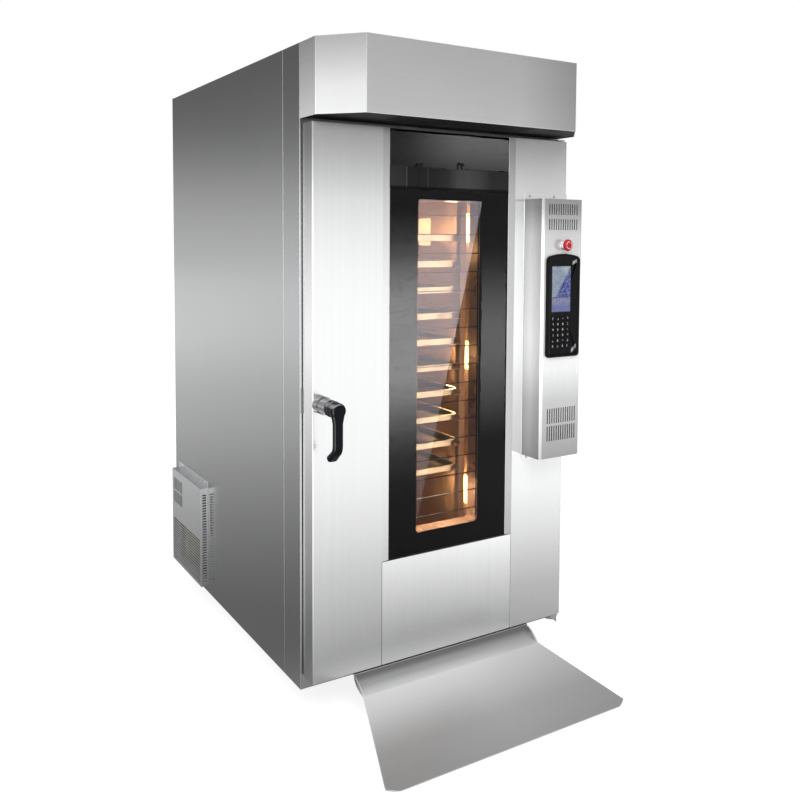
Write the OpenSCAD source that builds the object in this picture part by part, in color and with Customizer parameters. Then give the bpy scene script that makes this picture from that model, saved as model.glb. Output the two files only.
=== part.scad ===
// Rotating rack oven: an insulated stainless cabinet in which one rolling tray trolley turns,
// with a full-width glazed door, a canopy, a control box on the door and a loading ramp.
// X runs along the front, Y from front to back, Z up from the floor.

/* [Cabinet] */
// Width of the cabinet
cab_w = 1000; // [980:10:1150]
// Depth of the space for fan and heaters behind the chamber
rear_bay_d = 373; // [365:1:460]
// Height of the drive space from the chamber's ceiling to the cabinet's top
drive_h = 305; // [300:5:400]
// Height of the cabinet's lower edge above the floor
foot_h = 95; // [85:1:125]
// Thickness of the outer sheet
sheet = 2; // [1.5:0.5:3]
// Thickness of the insulated side and rear walls
wall = 80; // [60:5:90]
// Depth of the front frame's side strips
strip_d = 125; // [110:5:160]
// Width of each front post beside the doorway
post_w = 150; // [140:5:170]
// Depth of the hollow front posts
post_d = 50; // [40:5:60]
// Diameter of each foot pad
pad_dia = 68; // [50:2:90]

/* [Chamber] */
// Height of the chamber floor above the cabinet's lower edge
floor_rise = 43; // [41:1:60]
// Inner depth of the space in which the rack turns
chamber_d = 800; // [780:10:860]
// Height of the wall above the doorway
head_h = 40; // [20:1:80]
// Width of an air outlet slot in the rear wall
slot_w = 90; // [50:5:120]
// Height of an air outlet slot
slot_h = 12; // [6:1:20]
// Number of heater loops
heater_loops = 6; // [3:1:7]
// Diameter of a heater rod
heater_dia = 12; // [8:1:14]
// Diameter of the circulation fan wheel
fan_dia = 300; // [220:10:320]
// Number of fan blades
fan_blades = 14; // [8:1:18]

/* [Door] */
// Thickness of the door
door_t = 68; // [55:1:80]
// How far the door's top laps over the doorway
door_lap = 106; // [60:1:110]
// Width of the door's left stile
left_stile_w = 242; // [200:1:260]
// Width of the door's right stile
right_stile_w = 230; // [210:1:250]
// Width of the sloping edge beside the glass
bevel_w = 26; // [16:1:32]
// Height of the bottom panel under the glass
bottom_panel_h = 339; // [280:1:380]
// Width of the clear window
window_w = 247; // [180:1:300]
// Height of the clear window
window_h = 1089; // [980:1:1250]
// Height of the window's lower edge above the glass edge
window_lift = 67; // [50:1:90]
// Height of the glass above the clear window
glass_head = 221; // [180:1:260]
// Pitch of the window guard rods
guard_pitch = 62; // [50:1:80]
// Width of the door gasket
gasket_w = 20; // [14:1:26]

/* [Canopy] */
// Height of the canopy
hood_h = 225; // [180:5:225]
// Depth of the canopy in front of the cabinet
hood_d = 232; // [210:2:280]
// Depth of the canopy's sides before the corner slopes
hood_side_d = 110; // [80:2:140]
// Width that each corner slope takes off the front
hood_slope_w = 104; // [60:2:160]

/* [Control box] */
// Width of the control box
box_w = 179; // [170:1:200]
// Height of the control box
box_h = 893; // [860:1:960]
// Depth of the control box
box_d = 92; // [70:1:110]
// Height of the box's lower edge above the door's lower edge
box_lift = 615; // [560:5:680]
// Number of slots in one vent row
vent_slots = 13; // [8:1:15]
// Pitch of the vent slots
vent_pitch = 10.2; // [9:0.1:11]
// Width of one vent slot
vent_slot_w = 4.6; // [3:0.1:6]
// Diameter of the emergency stop's head
stop_dia = 40; // [32:1:46]
// Travel of the emergency stop
stop_travel = 5; // [3:0.5:6]

/* [Lever] */
// Length of the lever from its axis to its tip
lever_len = 158; // [130:1:190]
// Diameter of the lever's black hub
hub_dia = 50; // [44:1:60]
// Distance from the door to the hub's outer face
hub_reach = 128; // [105:1:130]
// Height of the lever's axis above the door's lower edge
lever_lift = 868; // [800:1:950]

/* [Rack] */
// Width of a baking tray
tray_w = 400; // [380:5:420]
// Length of a baking tray
tray_len = 600; // [570:5:610]
// Depth of a baking tray
tray_h = 22; // [15:1:30]
// Number of trays
tray_count = 10; // [6:1:10]
// Spacing of the trays
tray_pitch = 93; // [80:1:93]
// Width of a trolley upright
tube = 25; // [20:1:30]
// Diameter of a castor wheel
wheel_dia = 100; // [80:2:110]
// Width of a castor wheel
wheel_w = 30; // [24:1:36]
// Diameter of the turning shaft
shaft_dia = 40; // [30:1:50]

/* [Side vent cover] */
// Depth of the vent cover
cover_t = 30; // [20:1:40]
// Length of the vent cover
cover_len = 380; // [320:5:400]
// Height of the vent cover
cover_h = 394; // [340:2:420]
// Pitch of the slots in the cover's edge
edge_pitch = 10.5; // [9:0.5:14]

/* [Ramp and services] */
// Reach of the ramp in front of the door
ramp_reach = 402; // [340:2:460]
// Width that each side of the ramp gains towards the floor
ramp_flare = 102; // [0:2:140]
// Thickness of the ramp plate
ramp_t = 3; // [2:0.5:4]
// Outer diameter of the flue collar
flue_dia = 150; // [120:5:180]
// Height of the flue collar above the roof
flue_h = 100; // [60:5:140]
// Outer diameter of the water inlet
inlet_dia = 26.4; // [20:0.1:34]
// Reach of the rear connections behind the cabinet
service_reach = 40; // [30:1:60]
// Bore of the cable gland
gland_bore = 22; // [14:1:26]

/* [Hidden] */

// Clearances
seat_gap = 0.3;       // between pieces that rest on or beside each other
run_gap = 0.05;       // radial, between a shaft and its bore
panel_gap = 1.5;      // visible seam between two skins
$fn = 48;
hull_fn = 32;

// Cabinet levels and planes
z0 = foot_h;
floor_z = z0 + floor_rise;
floor_t = 3;
door_z0 = floor_z + 2;
door_h = bottom_panel_h + window_lift + window_h + glass_head;
doorway_z = door_z0 + door_h - door_lap;
ceiling_z = doorway_z + head_h;
chamber_h = ceiling_z - floor_z;
z1 = ceiling_z + drive_h;
cab_h = z1 - z0;
cab_d = post_d + chamber_d + rear_bay_d + wall + sheet;
doorway_x = [post_w, cab_w - post_w];
chamber_x = [wall, cab_w - wall];
chamber_y0 = post_d;
rear_wall_y = chamber_y0 + chamber_d;
back_y = cab_d - sheet - wall;       // inner face of the insulated back
liner_t = 2;
mid_w = cab_w / 2;
rack_y = chamber_y0 + chamber_d / 2;
lip_d = 12;                          // folded edge of the outer skins
top_ins_t = 58;                      // insulation above the chamber
frame_t = 40;                        // base frame member
frame_z = [z0 + sheet + seat_gap, floor_z - floor_t];
sill_z = floor_z - 4.3;              // ledge that carries the ramp's lip
shelf_z = z0 + 545;                  // floor of the heater space above the service bay
cascade_w = 240;                     // reach of the steam cascade from the chamber's left wall

// Door planes
door_x = [8, cab_w];
door_clear = 5;                      // door back to cabinet front
door_y1 = -door_clear;
door_y0 = door_y1 - door_t;
door_z = [door_z0, door_z0 + door_h];
skin = 1.5;
bend_r = 4;                          // outside of a folded corner of the door
glass_x = [door_x[0] + left_stile_w + bevel_w, door_x[1] - right_stile_w - bevel_w];
glass_z0 = door_z[0] + bottom_panel_h;
bevel_drop = 3.5;
glass_t = 4;
glass_y = door_y0 + bevel_drop + skin + seat_gap;
glass_tuck = 6;                      // how far the glass runs under the bevels
border_t = 1.5;
border_y = glass_y + glass_t + seat_gap;
tunnel_y = border_y + border_t + seat_gap;
window_mid_x = (glass_x[0] + glass_x[1]) / 2 - 3.5;
window_x = [window_mid_x - window_w / 2, window_mid_x + window_w / 2];
window_z = [glass_z0 + window_lift, glass_z0 + window_lift + window_h];
window_r = 14;
hinge_x = cab_w - 12;
hinge_y = door_y0 + 33;
pin_dia = 16;
bush_dia = 30;
bush_len = 35;
lever_x = door_x[0] + 27;
lever_z = door_z[0] + lever_lift;
spindle_dia = 16;

// Control box planes
plate_t = 2;
plate_x = [cab_w - box_w - 10, cab_w];
box_x = [cab_w - box_w - 8, cab_w - 8];
box_z = [door_z[0] + box_lift, door_z[0] + box_lift + box_h];
box_y1 = door_y0 - plate_t;
box_y0 = box_y1 - box_d;
box_sheet = 1.5;
bezel_w = 145;
bezel_h = 355;
bezel_t = 12;
bezel_mid_x = box_x[0] + 92;
bezel_z0 = box_z[0] + 351;
stop_x = box_x[0] + 95;
stop_z = box_z[0] + 736;
stop_hole = 22.4;
stop_ring = 12;   // height of the chrome collar

// Trolley levels and planes
tray_x = [mid_w - tray_w / 2, mid_w + tray_w / 2];
tray_y = [rack_y - tray_len / 2, rack_y + tray_len / 2];
ledge = 20;                          // width of a runner under a tray
runner_t = 2;
post_x = [tray_x[0] - 5 - tube, tray_x[1] + 5];
post_y = [tray_y[0] + 10, tray_y[1] - 10 - tube];
castor_lift = 6;                     // castors hang clear of the floor
wheel_z = floor_z + castor_lift + wheel_dia / 2;
castor_trail = 35;
castor_x = [post_x[0] + 55, post_x[1] + tube - 55];
castor_y = [post_y[0] + 95, post_y[1] + tube - 95];
fork_gap = 2;
fork_t = 4;
axle_dia = 12;
crown_z = wheel_z + wheel_dia / 2 + 8;
race_z = crown_z + 6;
chassis_z = race_z + 8;
trolley_top_z = ceiling_z - 78;
tray_top_z = trolley_top_z - 210;    // underside of the highest tray
rail_head = 60;
rail_web = 12;
rail_head_t = 8;

// Whole outline, used to put the origin under the middle of the oven
outline_x = [-cover_t, cab_w];
outline_y = [door_y0 - ramp_reach, cab_d + service_reach];
mid_x = (outline_x[0] + outline_x[1]) / 2;
mid_y = (outline_y[0] + outline_y[1]) / 2;

// ---------------------------------------------------------------- helpers

// Everything is drawn from the cabinet's front left corner and set over the origin here
module place() {
    translate([-mid_x, -mid_y, 0])
        children();
}

// Box given by its limits along each axis
module span(x, y, z) {
    translate([x[0], y[0], z[0]])
        cube([x[1] - x[0], y[1] - y[0], z[1] - z[0]]);
}

// Flat outline with round corners, lower left corner at the origin
module round_rect(w, h, r) {
    translate([r, 0])
        square([w - 2 * r, h]);
    translate([0, r])
        square([w, h - 2 * r]);
    for (x = [r, w - r], y = [r, h - r])
        translate([x, y])
            circle(r);
}

// Upright round-cornered plate in the XZ plane, between two Y planes
module upright_plate(x, z, y, r) {
    translate([x[0], y[1], z[0]])
        rotate([90, 0, 0])
            linear_extrude(y[1] - y[0])
                round_rect(x[1] - x[0], z[1] - z[0], r);
}

// Rod along X, Y or Z that starts at a point
module rod_x(p, len, d) {
    translate(p)
        rotate([0, 90, 0])
            cylinder(d = d, h = len);
}

module rod_y(p, len, d) {
    translate(p)
        rotate([-90, 0, 0])
            cylinder(d = d, h = len);
}

module rod_z(p, len, d) {
    translate(p)
        cylinder(d = d, h = len);
}

// Pan-head screw whose head stands out along -Y from the plane y
module screw_front(x, y, z, d = 9, h = 3) {
    translate([x, y, z])
        rotate([90, 0, 0])
            difference() {
                cylinder(d = d, h = h);
                translate([-d / 2, -0.6, h - 1])
                    cube([d, 1.2, 2]);
            }
}

// ---------------------------------------------------------------- cabinet

foot_x = [130, cab_w - 130];
foot_y = [240, cab_d - 140];
pad_t = 14;
stem_dia = 16;
pan_y0 = 27;                         // front edge of the chamber floor
// Middles of the base frame's cross members; the outer two stand on the feet
cross_y = [foot_y[0], (foot_y[0] + foot_y[1]) / 2, foot_y[1]];

module base_frame() {
    x = [lip_d + seat_gap, cab_w - lip_d - seat_gap];
    y = [pan_y0 + 1, cab_d - sheet - seat_gap - lip_d];
    color("dimgray") place() {
        difference() {
            span(x, y, frame_z);
            span([x[0] + frame_t, x[1] - frame_t], [y[0] + frame_t, y[1] - frame_t],
                 [z0, floor_z]);
        }
        for (c = cross_y)
            span([x[0] + 1, x[1] - 1], [c - frame_t / 2, c + frame_t / 2], frame_z);
    }
}

module levelling_feet() {
    nut_h = 13;
    stem_top = frame_z[0] - seat_gap;
    color("silver") place()
        for (x = foot_x, y = foot_y)
            translate([x, y, 0]) {
                rotate_extrude()
                    polygon([[0, 0], [pad_dia / 2, 0], [pad_dia / 2, 5],
                             [stem_dia / 2 + 4, pad_t], [0, pad_t]]);
                cylinder(d = stem_dia, h = stem_top);
                translate([0, 0, stem_top - nut_h])
                    cylinder(d = 28, h = nut_h, $fn = 6);
            }
}

module floor_pan() {
    color("lightgray") place()
        span([chamber_x[0] - liner_t, chamber_x[1] + liner_t],
             [pan_y0, back_y], [floor_z - floor_t, floor_z]);
}

module post_left() {
    span([0, sheet], [0, strip_d - panel_gap / 2], [z0, z1]);
    span([0, post_w], [0, sheet], [z0, doorway_z]);
    span([post_w - sheet, post_w], [0, pan_y0 - 0.2], [sill_z, doorway_z]);
    span([post_w - sheet, post_w], [0, post_d], [floor_z + 0.1, doorway_z]);
    span([chamber_x[0], post_w], [post_d - sheet, post_d], [floor_z + 0.1, doorway_z]);
    span([0, lip_d], [strip_d - panel_gap / 2 - sheet, strip_d - panel_gap / 2], [z0, z1 - sheet]);
}

module front_frame() {
    keeper_cut = 52;
    color("gainsboro") place() {
        difference() {
            post_left();
            rod_y([lever_x, -1, lever_z], sheet + 2, keeper_cut);
        }
        translate([cab_w, 0, 0])
            mirror([1, 0, 0])
                post_left();
        // header over the doorway, and the sill under it, between the posts' strips
        span([sheet + 0.2, cab_w - sheet - 0.2], [0, sheet], [doorway_z + 0.2, z1 - sheet]);
        span(chamber_x, [0, post_d], [doorway_z + 0.2, doorway_z + sheet]);
        span(chamber_x, [post_d - sheet, post_d], [doorway_z + 0.2, ceiling_z]);
        span([post_w + 0.2, cab_w - post_w - 0.2], [0, sheet], [z0, sill_z - 0.2]);
        span([post_w + 0.2, cab_w - post_w - 0.2], [0, pan_y0 - 0.2], [sill_z - sheet, sill_z]);
    }
}

// Folded skin of one cabinet side, open towards the insulation
module side_skin() {
    y = [strip_d + panel_gap / 2, cab_d - sheet];
    difference() {
        span([0, lip_d], y, [z0, z1]);
        span([sheet, lip_d + 1], [y[0] + sheet, y[1] - sheet], [z0 + sheet, z1 - sheet]);
        // the roof rests in this step
        span([sheet, lip_d + 1], [y[0] - 1, y[1] + 1], [z1 - sheet, z1 + 1]);
    }
}

cover_y = [cab_d - 45 - cover_len, cab_d - 45];
cover_z = [z0 + 28, z0 + 28 + cover_h];

module left_side_panel() {
    margin = 20;
    color("silver") place()
        difference() {
            side_skin();
            span([-1, sheet + 1], [cover_y[0] + margin, cover_y[1] - margin],
                 [cover_z[0] + margin, cover_z[1] - margin]);
        }
}

module right_side_panel() {
    color("silver") place()
        translate([cab_w, 0, 0])
            mirror([1, 0, 0])
                side_skin();
}

inlet_pos = [chamber_x[0] + 150, z0 + 330];
gland_pos = [chamber_x[1] - 160, z0 + 330];
gland_thread = gland_bore + 10;

module rear_panel() {
    louvre_w = 300;
    louvre_h = 6;
    louvre_pitch = 20;
    color("silver") place()
        difference() {
            span([0, cab_w], [cab_d - sheet, cab_d], [z0, z1]);
            for (i = [0:6])
                span([mid_w - louvre_w / 2, mid_w + louvre_w / 2], [cab_d - sheet - 1, cab_d + 1],
                     [z1 - 190 + i * louvre_pitch, z1 - 190 + i * louvre_pitch + louvre_h]);
            for (i = [0:9])
                span([mid_w - louvre_w / 2, mid_w + louvre_w / 2], [cab_d - sheet - 1, cab_d + 1],
                     [z0 + 90 + i * louvre_pitch, z0 + 90 + i * louvre_pitch + louvre_h]);
            rod_y([inlet_pos[0], cab_d - sheet - 1, inlet_pos[1]], sheet + 2,
                  inlet_dia + 2 * seat_gap);
            rod_y([gland_pos[0], cab_d - sheet - 1, gland_pos[1]], sheet + 2,
                  gland_thread + 2 * seat_gap);
        }
}

flue_pos = [chamber_x[1] - flue_dia / 2 - 85, back_y - flue_dia / 2 - 20];
flue_t = 2;

module roof_panel() {
    color("silver") place()
        difference() {
            span([sheet + 0.2, cab_w - sheet - 0.2], [0, cab_d - sheet - 0.2], [z1 - sheet, z1]);
            rod_z([flue_pos[0], flue_pos[1], z1 - sheet - 1], sheet + 2, flue_dia + 2 * seat_gap);
        }
}

fan_pos = [mid_w, (rear_wall_y + back_y) / 2];
motor_neck = 90;
lamp_side_y = [rack_y - 32, rear_wall_y - 111];
// Lamp middles: distance from the front, height above the cabinet's lower edge
lamps = [
    [lamp_side_y[0], floor_rise + 0.216 * chamber_h], [lamp_side_y[0], floor_rise + 0.548 * chamber_h],
    [lamp_side_y[0], floor_rise + 0.857 * chamber_h], [lamp_side_y[1], floor_rise + 0.847 * chamber_h]
];
lamp_w = 70;
lamp_h = 100;

bay_vent_y = [rear_wall_y + 60, back_y - 30];

module cabinet_insulation() {
    x = [lip_d + seat_gap, cab_w - lip_d - seat_gap];
    y = [sheet + seat_gap, back_y];
    top = ceiling_z + liner_t;
    color("khaki") place() {
        // side slabs, open where the side vent leads into the service bay and behind the latch
        difference() {
            span([x[0], chamber_x[0] - liner_t - seat_gap], y, [floor_z + seat_gap, top]);
            span([0, chamber_x[0]], bay_vent_y, [z0, shelf_z - 60]);
            span([0, chamber_x[0]], [0, 20], [lever_z - 40, lever_z + 40]);
        }
        difference() {
            span([chamber_x[1] + liner_t + seat_gap, x[1]], y, [floor_z + seat_gap, top]);
            for (l = lamps)
                span([0, cab_w], [l[0] - lamp_w / 2 - 3, l[0] + lamp_w / 2 + 3],
                     [z0 + l[1] - lamp_h / 2 - 3, z0 + l[1] + lamp_h / 2 + 3]);
        }
        // rear slab above the service bay
        span(x, [back_y + seat_gap, cab_d - sheet - lip_d - seat_gap], [shelf_z, top]);
        // slab over the chamber, with ways through for the rack head, the fan and the flue
        difference() {
            span(x, [post_d + seat_gap, back_y], [top + seat_gap, top + top_ins_t]);
            rod_z([mid_w, rack_y, ceiling_z], 200, head_flange + 2);
            rod_z([fan_pos[0], fan_pos[1], ceiling_z], 200, motor_neck + 2);
            rod_z([flue_pos[0], flue_pos[1], ceiling_z], 200, flue_dia + 2);
        }
        // slabs inside the two front posts
        for (px = [[chamber_x[0], post_w - sheet - seat_gap],
                   [cab_w - post_w + sheet + seat_gap, chamber_x[1]]])
            span(px, [sheet + seat_gap, post_d - sheet - seat_gap],
                 [floor_z + seat_gap, doorway_z - 1]);
        // floor slabs between the base frame's cross members
        for (i = [0:1])
            span([lip_d + frame_t + 2, cab_w - lip_d - frame_t - 2],
                 [cross_y[i] + frame_t / 2 + 1, cross_y[i + 1] - frame_t / 2 - 1],
                 [frame_z[0], frame_z[1] - seat_gap]);
    }
}

module chamber_walls() {
    y = [post_d + 0.2, back_y - liner_t - 0.2];
    z = [floor_z + 0.2, ceiling_z - 0.2];
    color("lightgray") place() {
        difference() {
            span([chamber_x[0] - liner_t, chamber_x[0]], y, z);
            span([0, cab_w], bay_vent_y, [z0 + 60, shelf_z - 60]);
        }
        difference() {
            span([chamber_x[1], chamber_x[1] + liner_t], y, z);
            for (l = lamps)
                translate([chamber_x[1] - 1, l[0] - lamp_w / 2, z0 + l[1] - lamp_h / 2])
                    cube([liner_t + 2, lamp_w, lamp_h]);
        }
        difference() {
            span([chamber_x[0] - liner_t, chamber_x[1] + liner_t], [post_d + 0.2, back_y],
                 [ceiling_z, ceiling_z + liner_t]);
            rod_z([mid_w, rack_y, ceiling_z - 1], liner_t + 2, shaft_dia + 12);
            rod_z([fan_pos[0], fan_pos[1], ceiling_z - 1], liner_t + 2, motor_neck - 20);
            rod_z([flue_pos[0], flue_pos[1], ceiling_z - 1], liner_t + 2, flue_dia + 2 * seat_gap);
        }
        // rear liner and the shelf under the heater space
        span([chamber_x[0] + 0.2, chamber_x[1] - 0.2], [back_y - liner_t, back_y], [floor_z + 0.2, z[1]]);
        span([chamber_x[0] + 0.2, chamber_x[1] - 0.2],
             [rear_wall_y + liner_t + 0.2, back_y - liner_t - 0.2], [shelf_z, shelf_z + liner_t]);
    }
}

module chamber_rear_wall() {
    columns = 4;
    rows = 16;
    z = [floor_z + 120, floor_z + chamber_h - 360];
    pitch_x = (chamber_x[1] - chamber_x[0]) / columns;
    pitch_z = (z[1] - z[0]) / (rows - 1);
    intake = fan_dia - 60;
    color("lightgray") place()
        difference() {
            span([chamber_x[0] + 0.2, chamber_x[1] - 0.2], [rear_wall_y, rear_wall_y + liner_t],
                 [floor_z + 0.2, ceiling_z - 0.2]);
            for (i = [0:columns - 1], j = [0:rows - 1])
                translate([chamber_x[0] + (i + 0.5) * pitch_x - slot_w / 2, rear_wall_y - 1,
                           z[0] + j * pitch_z - slot_h / 2])
                    cube([slot_w, liner_t + 2, slot_h]);
            // return air to the fan
            for (k = [-3:3])
                span([mid_w - intake, mid_w + intake], [rear_wall_y - 1, rear_wall_y + liner_t + 1],
                     [ceiling_z - 170 + k * 24 - 5, ceiling_z - 170 + k * 24 + 5]);
        }
}

// One hairpin heater: two upright rods joined by a half ring
module hairpin(x, y, z, pitch, len) {
    for (s = [0, pitch])
        rod_z([x + s, y, z], len, heater_dia);
    translate([x + pitch / 2, y, z + len])
        rotate([90, 0, 0])
            rotate_extrude(angle = 180)
                translate([pitch / 2, 0])
                    circle(d = heater_dia);
}

module heating_elements() {
    head_room = 350;                     // between the heaters and the fan
    bank_x = [chamber_x[0] + cascade_w + 60, chamber_x[1] - 60];
    step = (bank_x[1] - bank_x[0]) / heater_loops;
    bank_y = rear_wall_y + 0.32 * rear_bay_d;
    rod_len = impeller_z - head_room - shelf_z;
    plate_z = shelf_z + liner_t + seat_gap;
    color("dimgray") place() {
        span([bank_x[0] - 20, bank_x[1] + 20], [bank_y - 30, bank_y + 30], [plate_z, plate_z + 6]);
        for (i = [0:heater_loops - 1])
            hairpin(bank_x[0] + (i + 0.25) * step, bank_y, plate_z + 6, step / 2, rod_len);
    }
}

fan_shaft = 20;
impeller_z = ceiling_z - 150;

module fan_motor() {
    base_z = ceiling_z + liner_t + seat_gap;
    motor_z = base_z + top_ins_t + 10;
    body_dia = 150;
    body_h = 140;
    bore_h = 151;                        // blind bore for the fan's shaft
    color("slategray") place()
        translate([fan_pos[0], fan_pos[1], 0])
            difference() {
                union() {
                    translate([0, 0, base_z])
                        cylinder(d = motor_neck, h = motor_z - base_z);
                    translate([0, 0, motor_z - 8])
                        cylinder(d = body_dia, h = 8);
                    translate([0, 0, motor_z])
                        cylinder(d = body_dia - 16, h = body_h);
                    // cooling fins
                    for (a = [0:15:345])
                        rotate([0, 0, a])
                            translate([body_dia / 2 - 10, -1.5, motor_z])
                                cube([9, 3, body_h - 20]);
                    translate([0, 0, motor_z + body_h])
                        cylinder(d = body_dia - 30, h = 12);
                }
                translate([0, 0, base_z - 1])
                    cylinder(d = fan_shaft + 2 * run_gap, h = bore_h);
            }
}

module steam_cascade() {
    x = [chamber_x[0] + 20, chamber_x[0] + cascade_w];
    y = [rear_wall_y + 0.16 * rear_bay_d, rear_wall_y + 0.64 * rear_bay_d];
    trough = y[1] - y[0] - 50;
    steps = 9;
    rise = 70;
    base = shelf_z + liner_t + seat_gap;
    color("sienna") place() {
        for (s = [x[0], x[1] - 4])
            span([s, s + 4], y, [base, base + steps * rise + 30]);
        // angle troughs between the side plates, each tipped towards the next
        for (i = [0:steps - 1])
            translate([x[0] + 3, (i % 2 == 0) ? y[0] + 15 : y[1] - 15, base + 30 + i * rise])
                rotate([(i % 2 == 0) ? -12 : 12, 0, 0])
                    translate([0, (i % 2 == 0) ? 0 : -trough, 0]) {
                        cube([x[1] - x[0] - 6, trough, 4]);
                        cube([x[1] - x[0] - 6, 4, 22]);
                        translate([0, trough - 4, 0])
                            cube([x[1] - x[0] - 6, 4, 22]);
                    }
    }
}

module lamp_housings() {
    depth = wall - sheet - lip_d - liner_t - 6;
    color("silver") place()
        for (l = lamps)
            translate([chamber_x[1] + liner_t + 0.2, l[0], z0 + l[1]])
                difference() {
                    translate([0, -lamp_w / 2 - 2, -lamp_h / 2 - 2])
                        cube([depth, lamp_w + 4, lamp_h + 4]);
                    translate([-1, -lamp_w / 2 + 4, -lamp_h / 2 + 4])
                        cube([depth - 2, lamp_w - 8, lamp_h - 8]);
                }
}

module lamp_glasses() {
    edge = 8;
    color([1, 0.85, 0.5, 0.8]) place()
        for (l = lamps)
            translate([chamber_x[1] - 0.2, l[0] - lamp_w / 2 - edge, z0 + l[1] - lamp_h / 2 - edge])
                rotate([0, -90, 0])
                    linear_extrude(5)
                        round_rect(lamp_h + 2 * edge, lamp_w + 2 * edge, edge);
}

// Plan of the canopy, drawn in by a margin, with its back edge on the cabinet's front
module hood_plan(m, back = -0.2) {
    slope_m = m * 0.58;
    polygon([[m, back], [m, -hood_side_d - slope_m + m], [hood_slope_w + slope_m, -hood_d + m],
             [cab_w - hood_slope_w - slope_m, -hood_d + m], [cab_w - m, -hood_side_d - slope_m + m],
             [cab_w - m, back]]);
}

module hood_shell() {
    color("gainsboro") place()
        difference() {
            translate([0, 0, z1 - hood_h])
                linear_extrude(hood_h)
                    hood_plan(0);
            translate([0, 0, z1 - hood_h - 1])
                linear_extrude(hood_h + 1 - sheet)
                    hood_plan(sheet, 1);
        }
}

module hood_base() {
    slots = 24;
    pitch = 22;
    color([0.08, 0.08, 0.08]) place()
        difference() {
            translate([0, 0, z1 - hood_h + 3])
                linear_extrude(2)
                    hood_plan(sheet + seat_gap);
            for (i = [0:slots - 1])
                translate([mid_w - (slots - 1) * pitch / 2 + i * pitch - 4, -190, z1 - hood_h])
                    cube([8, 90, 20]);
        }
}

cover_flange = 27;

module side_vent_cover() {
    wall_t = 1.5;
    face_split = cover_z[0] + 194;
    slots = floor((cover_h - 30) / edge_pitch);
    fine = 7;
    color("silver") place()
        difference() {
            union() {
                span([-cover_t, 0], cover_y, cover_z);
                span([-wall_t, 0], cover_y, [cover_z[1] - 1, cover_z[1] + cover_flange]);
            }
            span([-cover_t + wall_t, 1], [cover_y[0] + wall_t, cover_y[1] - wall_t],
                 [cover_z[0] + wall_t, cover_z[1] - wall_t]);
            // slots in the narrow front side
            for (i = [0:slots - 1])
                span([-cover_t + 7, -7], [cover_y[0] - 1, cover_y[0] + wall_t + 1],
                     [cover_z[0] + 18 + i * edge_pitch, cover_z[0] + 18 + i * edge_pitch + edge_pitch / 2]);
            // fine rows in the upper rear corner of the face
            for (k = [0, 1], i = [0:fine - 1])
                span([-cover_t - 1, -cover_t + wall_t + 1], [cover_y[1] - 138, cover_y[1] - 18],
                     [cover_z[1] - 138 + k * 56 + i * 7, cover_z[1] - 138 + k * 56 + i * 7 + 4]);
            // slotted lower part of the face
            for (i = [0:15])
                span([-cover_t - 1, -cover_t + wall_t + 1], [cover_y[0] + 12, cover_y[1] - 12],
                     [face_split - 16 - i * 11, face_split - 10 - i * 11]);
            for (y = [cover_y[0] + 40, cover_y[1] - 40])
                rod_x([-wall_t - 1, y, cover_z[1] + 16], wall_t + 2, 5);
        }
}

module cover_screws() {
    color("dimgray") place()
        for (y = [cover_y[0] + 40, cover_y[1] - 40])
            translate([-1.5, y, cover_z[1] + 16])
                rotate([0, -90, 0]) {
                    rotate_extrude()
                        polygon([[0, 0], [5.5, 0], [5, 2], [3, 3], [0, 3]]);
                    translate([0, 0, -1.5])
                        cylinder(d = 4.4, h = 2);
                }
}

module hinge_brackets() {
    plate_len = -hinge_y + 22;
    low = door_z[0] - 7;
    high = door_z[1] + 7;
    color("gray") place() {
        // lower bracket: plate, web and pin with a thrust collar
        span([hinge_x - 22, cab_w], [-plate_len, -0.2], [low - 5, low]);
        span([hinge_x - 6, hinge_x + 1], [-26, -0.2], [low - 30, low - 5]);
        translate([0, 4 - plate_len, 0])
            rotate([90, 0, 0])
                linear_extrude(4)
                    polygon([[hinge_x - 22, low - 3], [cab_w - 4, low - 3], [cab_w - 4, low - 30]]);
        span([hinge_x - 22, cab_w], [-4, -0.2], [low - 30, low - 5]);
        rod_z([hinge_x, hinge_y, low - 22], 17, 24);
        rod_z([hinge_x, hinge_y, low], 7 - seat_gap, bush_dia - 6);
        rod_z([hinge_x, hinge_y, low], 7 + bush_len - 4, pin_dia);
        // upper bracket
        span([hinge_x - 22, cab_w], [-plate_len, -0.2], [high - 4, high + 1]);
        rod_z([hinge_x, hinge_y, door_z[1] - bush_len + 4], 11 + bush_len - 8, pin_dia);
    }
}

module latch_keeper() {
    color("silver") place()
        difference() {
            upright_plate([lever_x - 31, lever_x + 31], [lever_z - 42, lever_z + 42], [-3, -0.1], 6);
            upright_plate([lever_x - 10, lever_x + 10], [lever_z - 27, lever_z + 27], [-4, 1], 9.9);
            for (z = [-34, 34])
                rod_y([lever_x, -4, lever_z + z], 5, 5);
        }
}

head_flange = 150;

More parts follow.
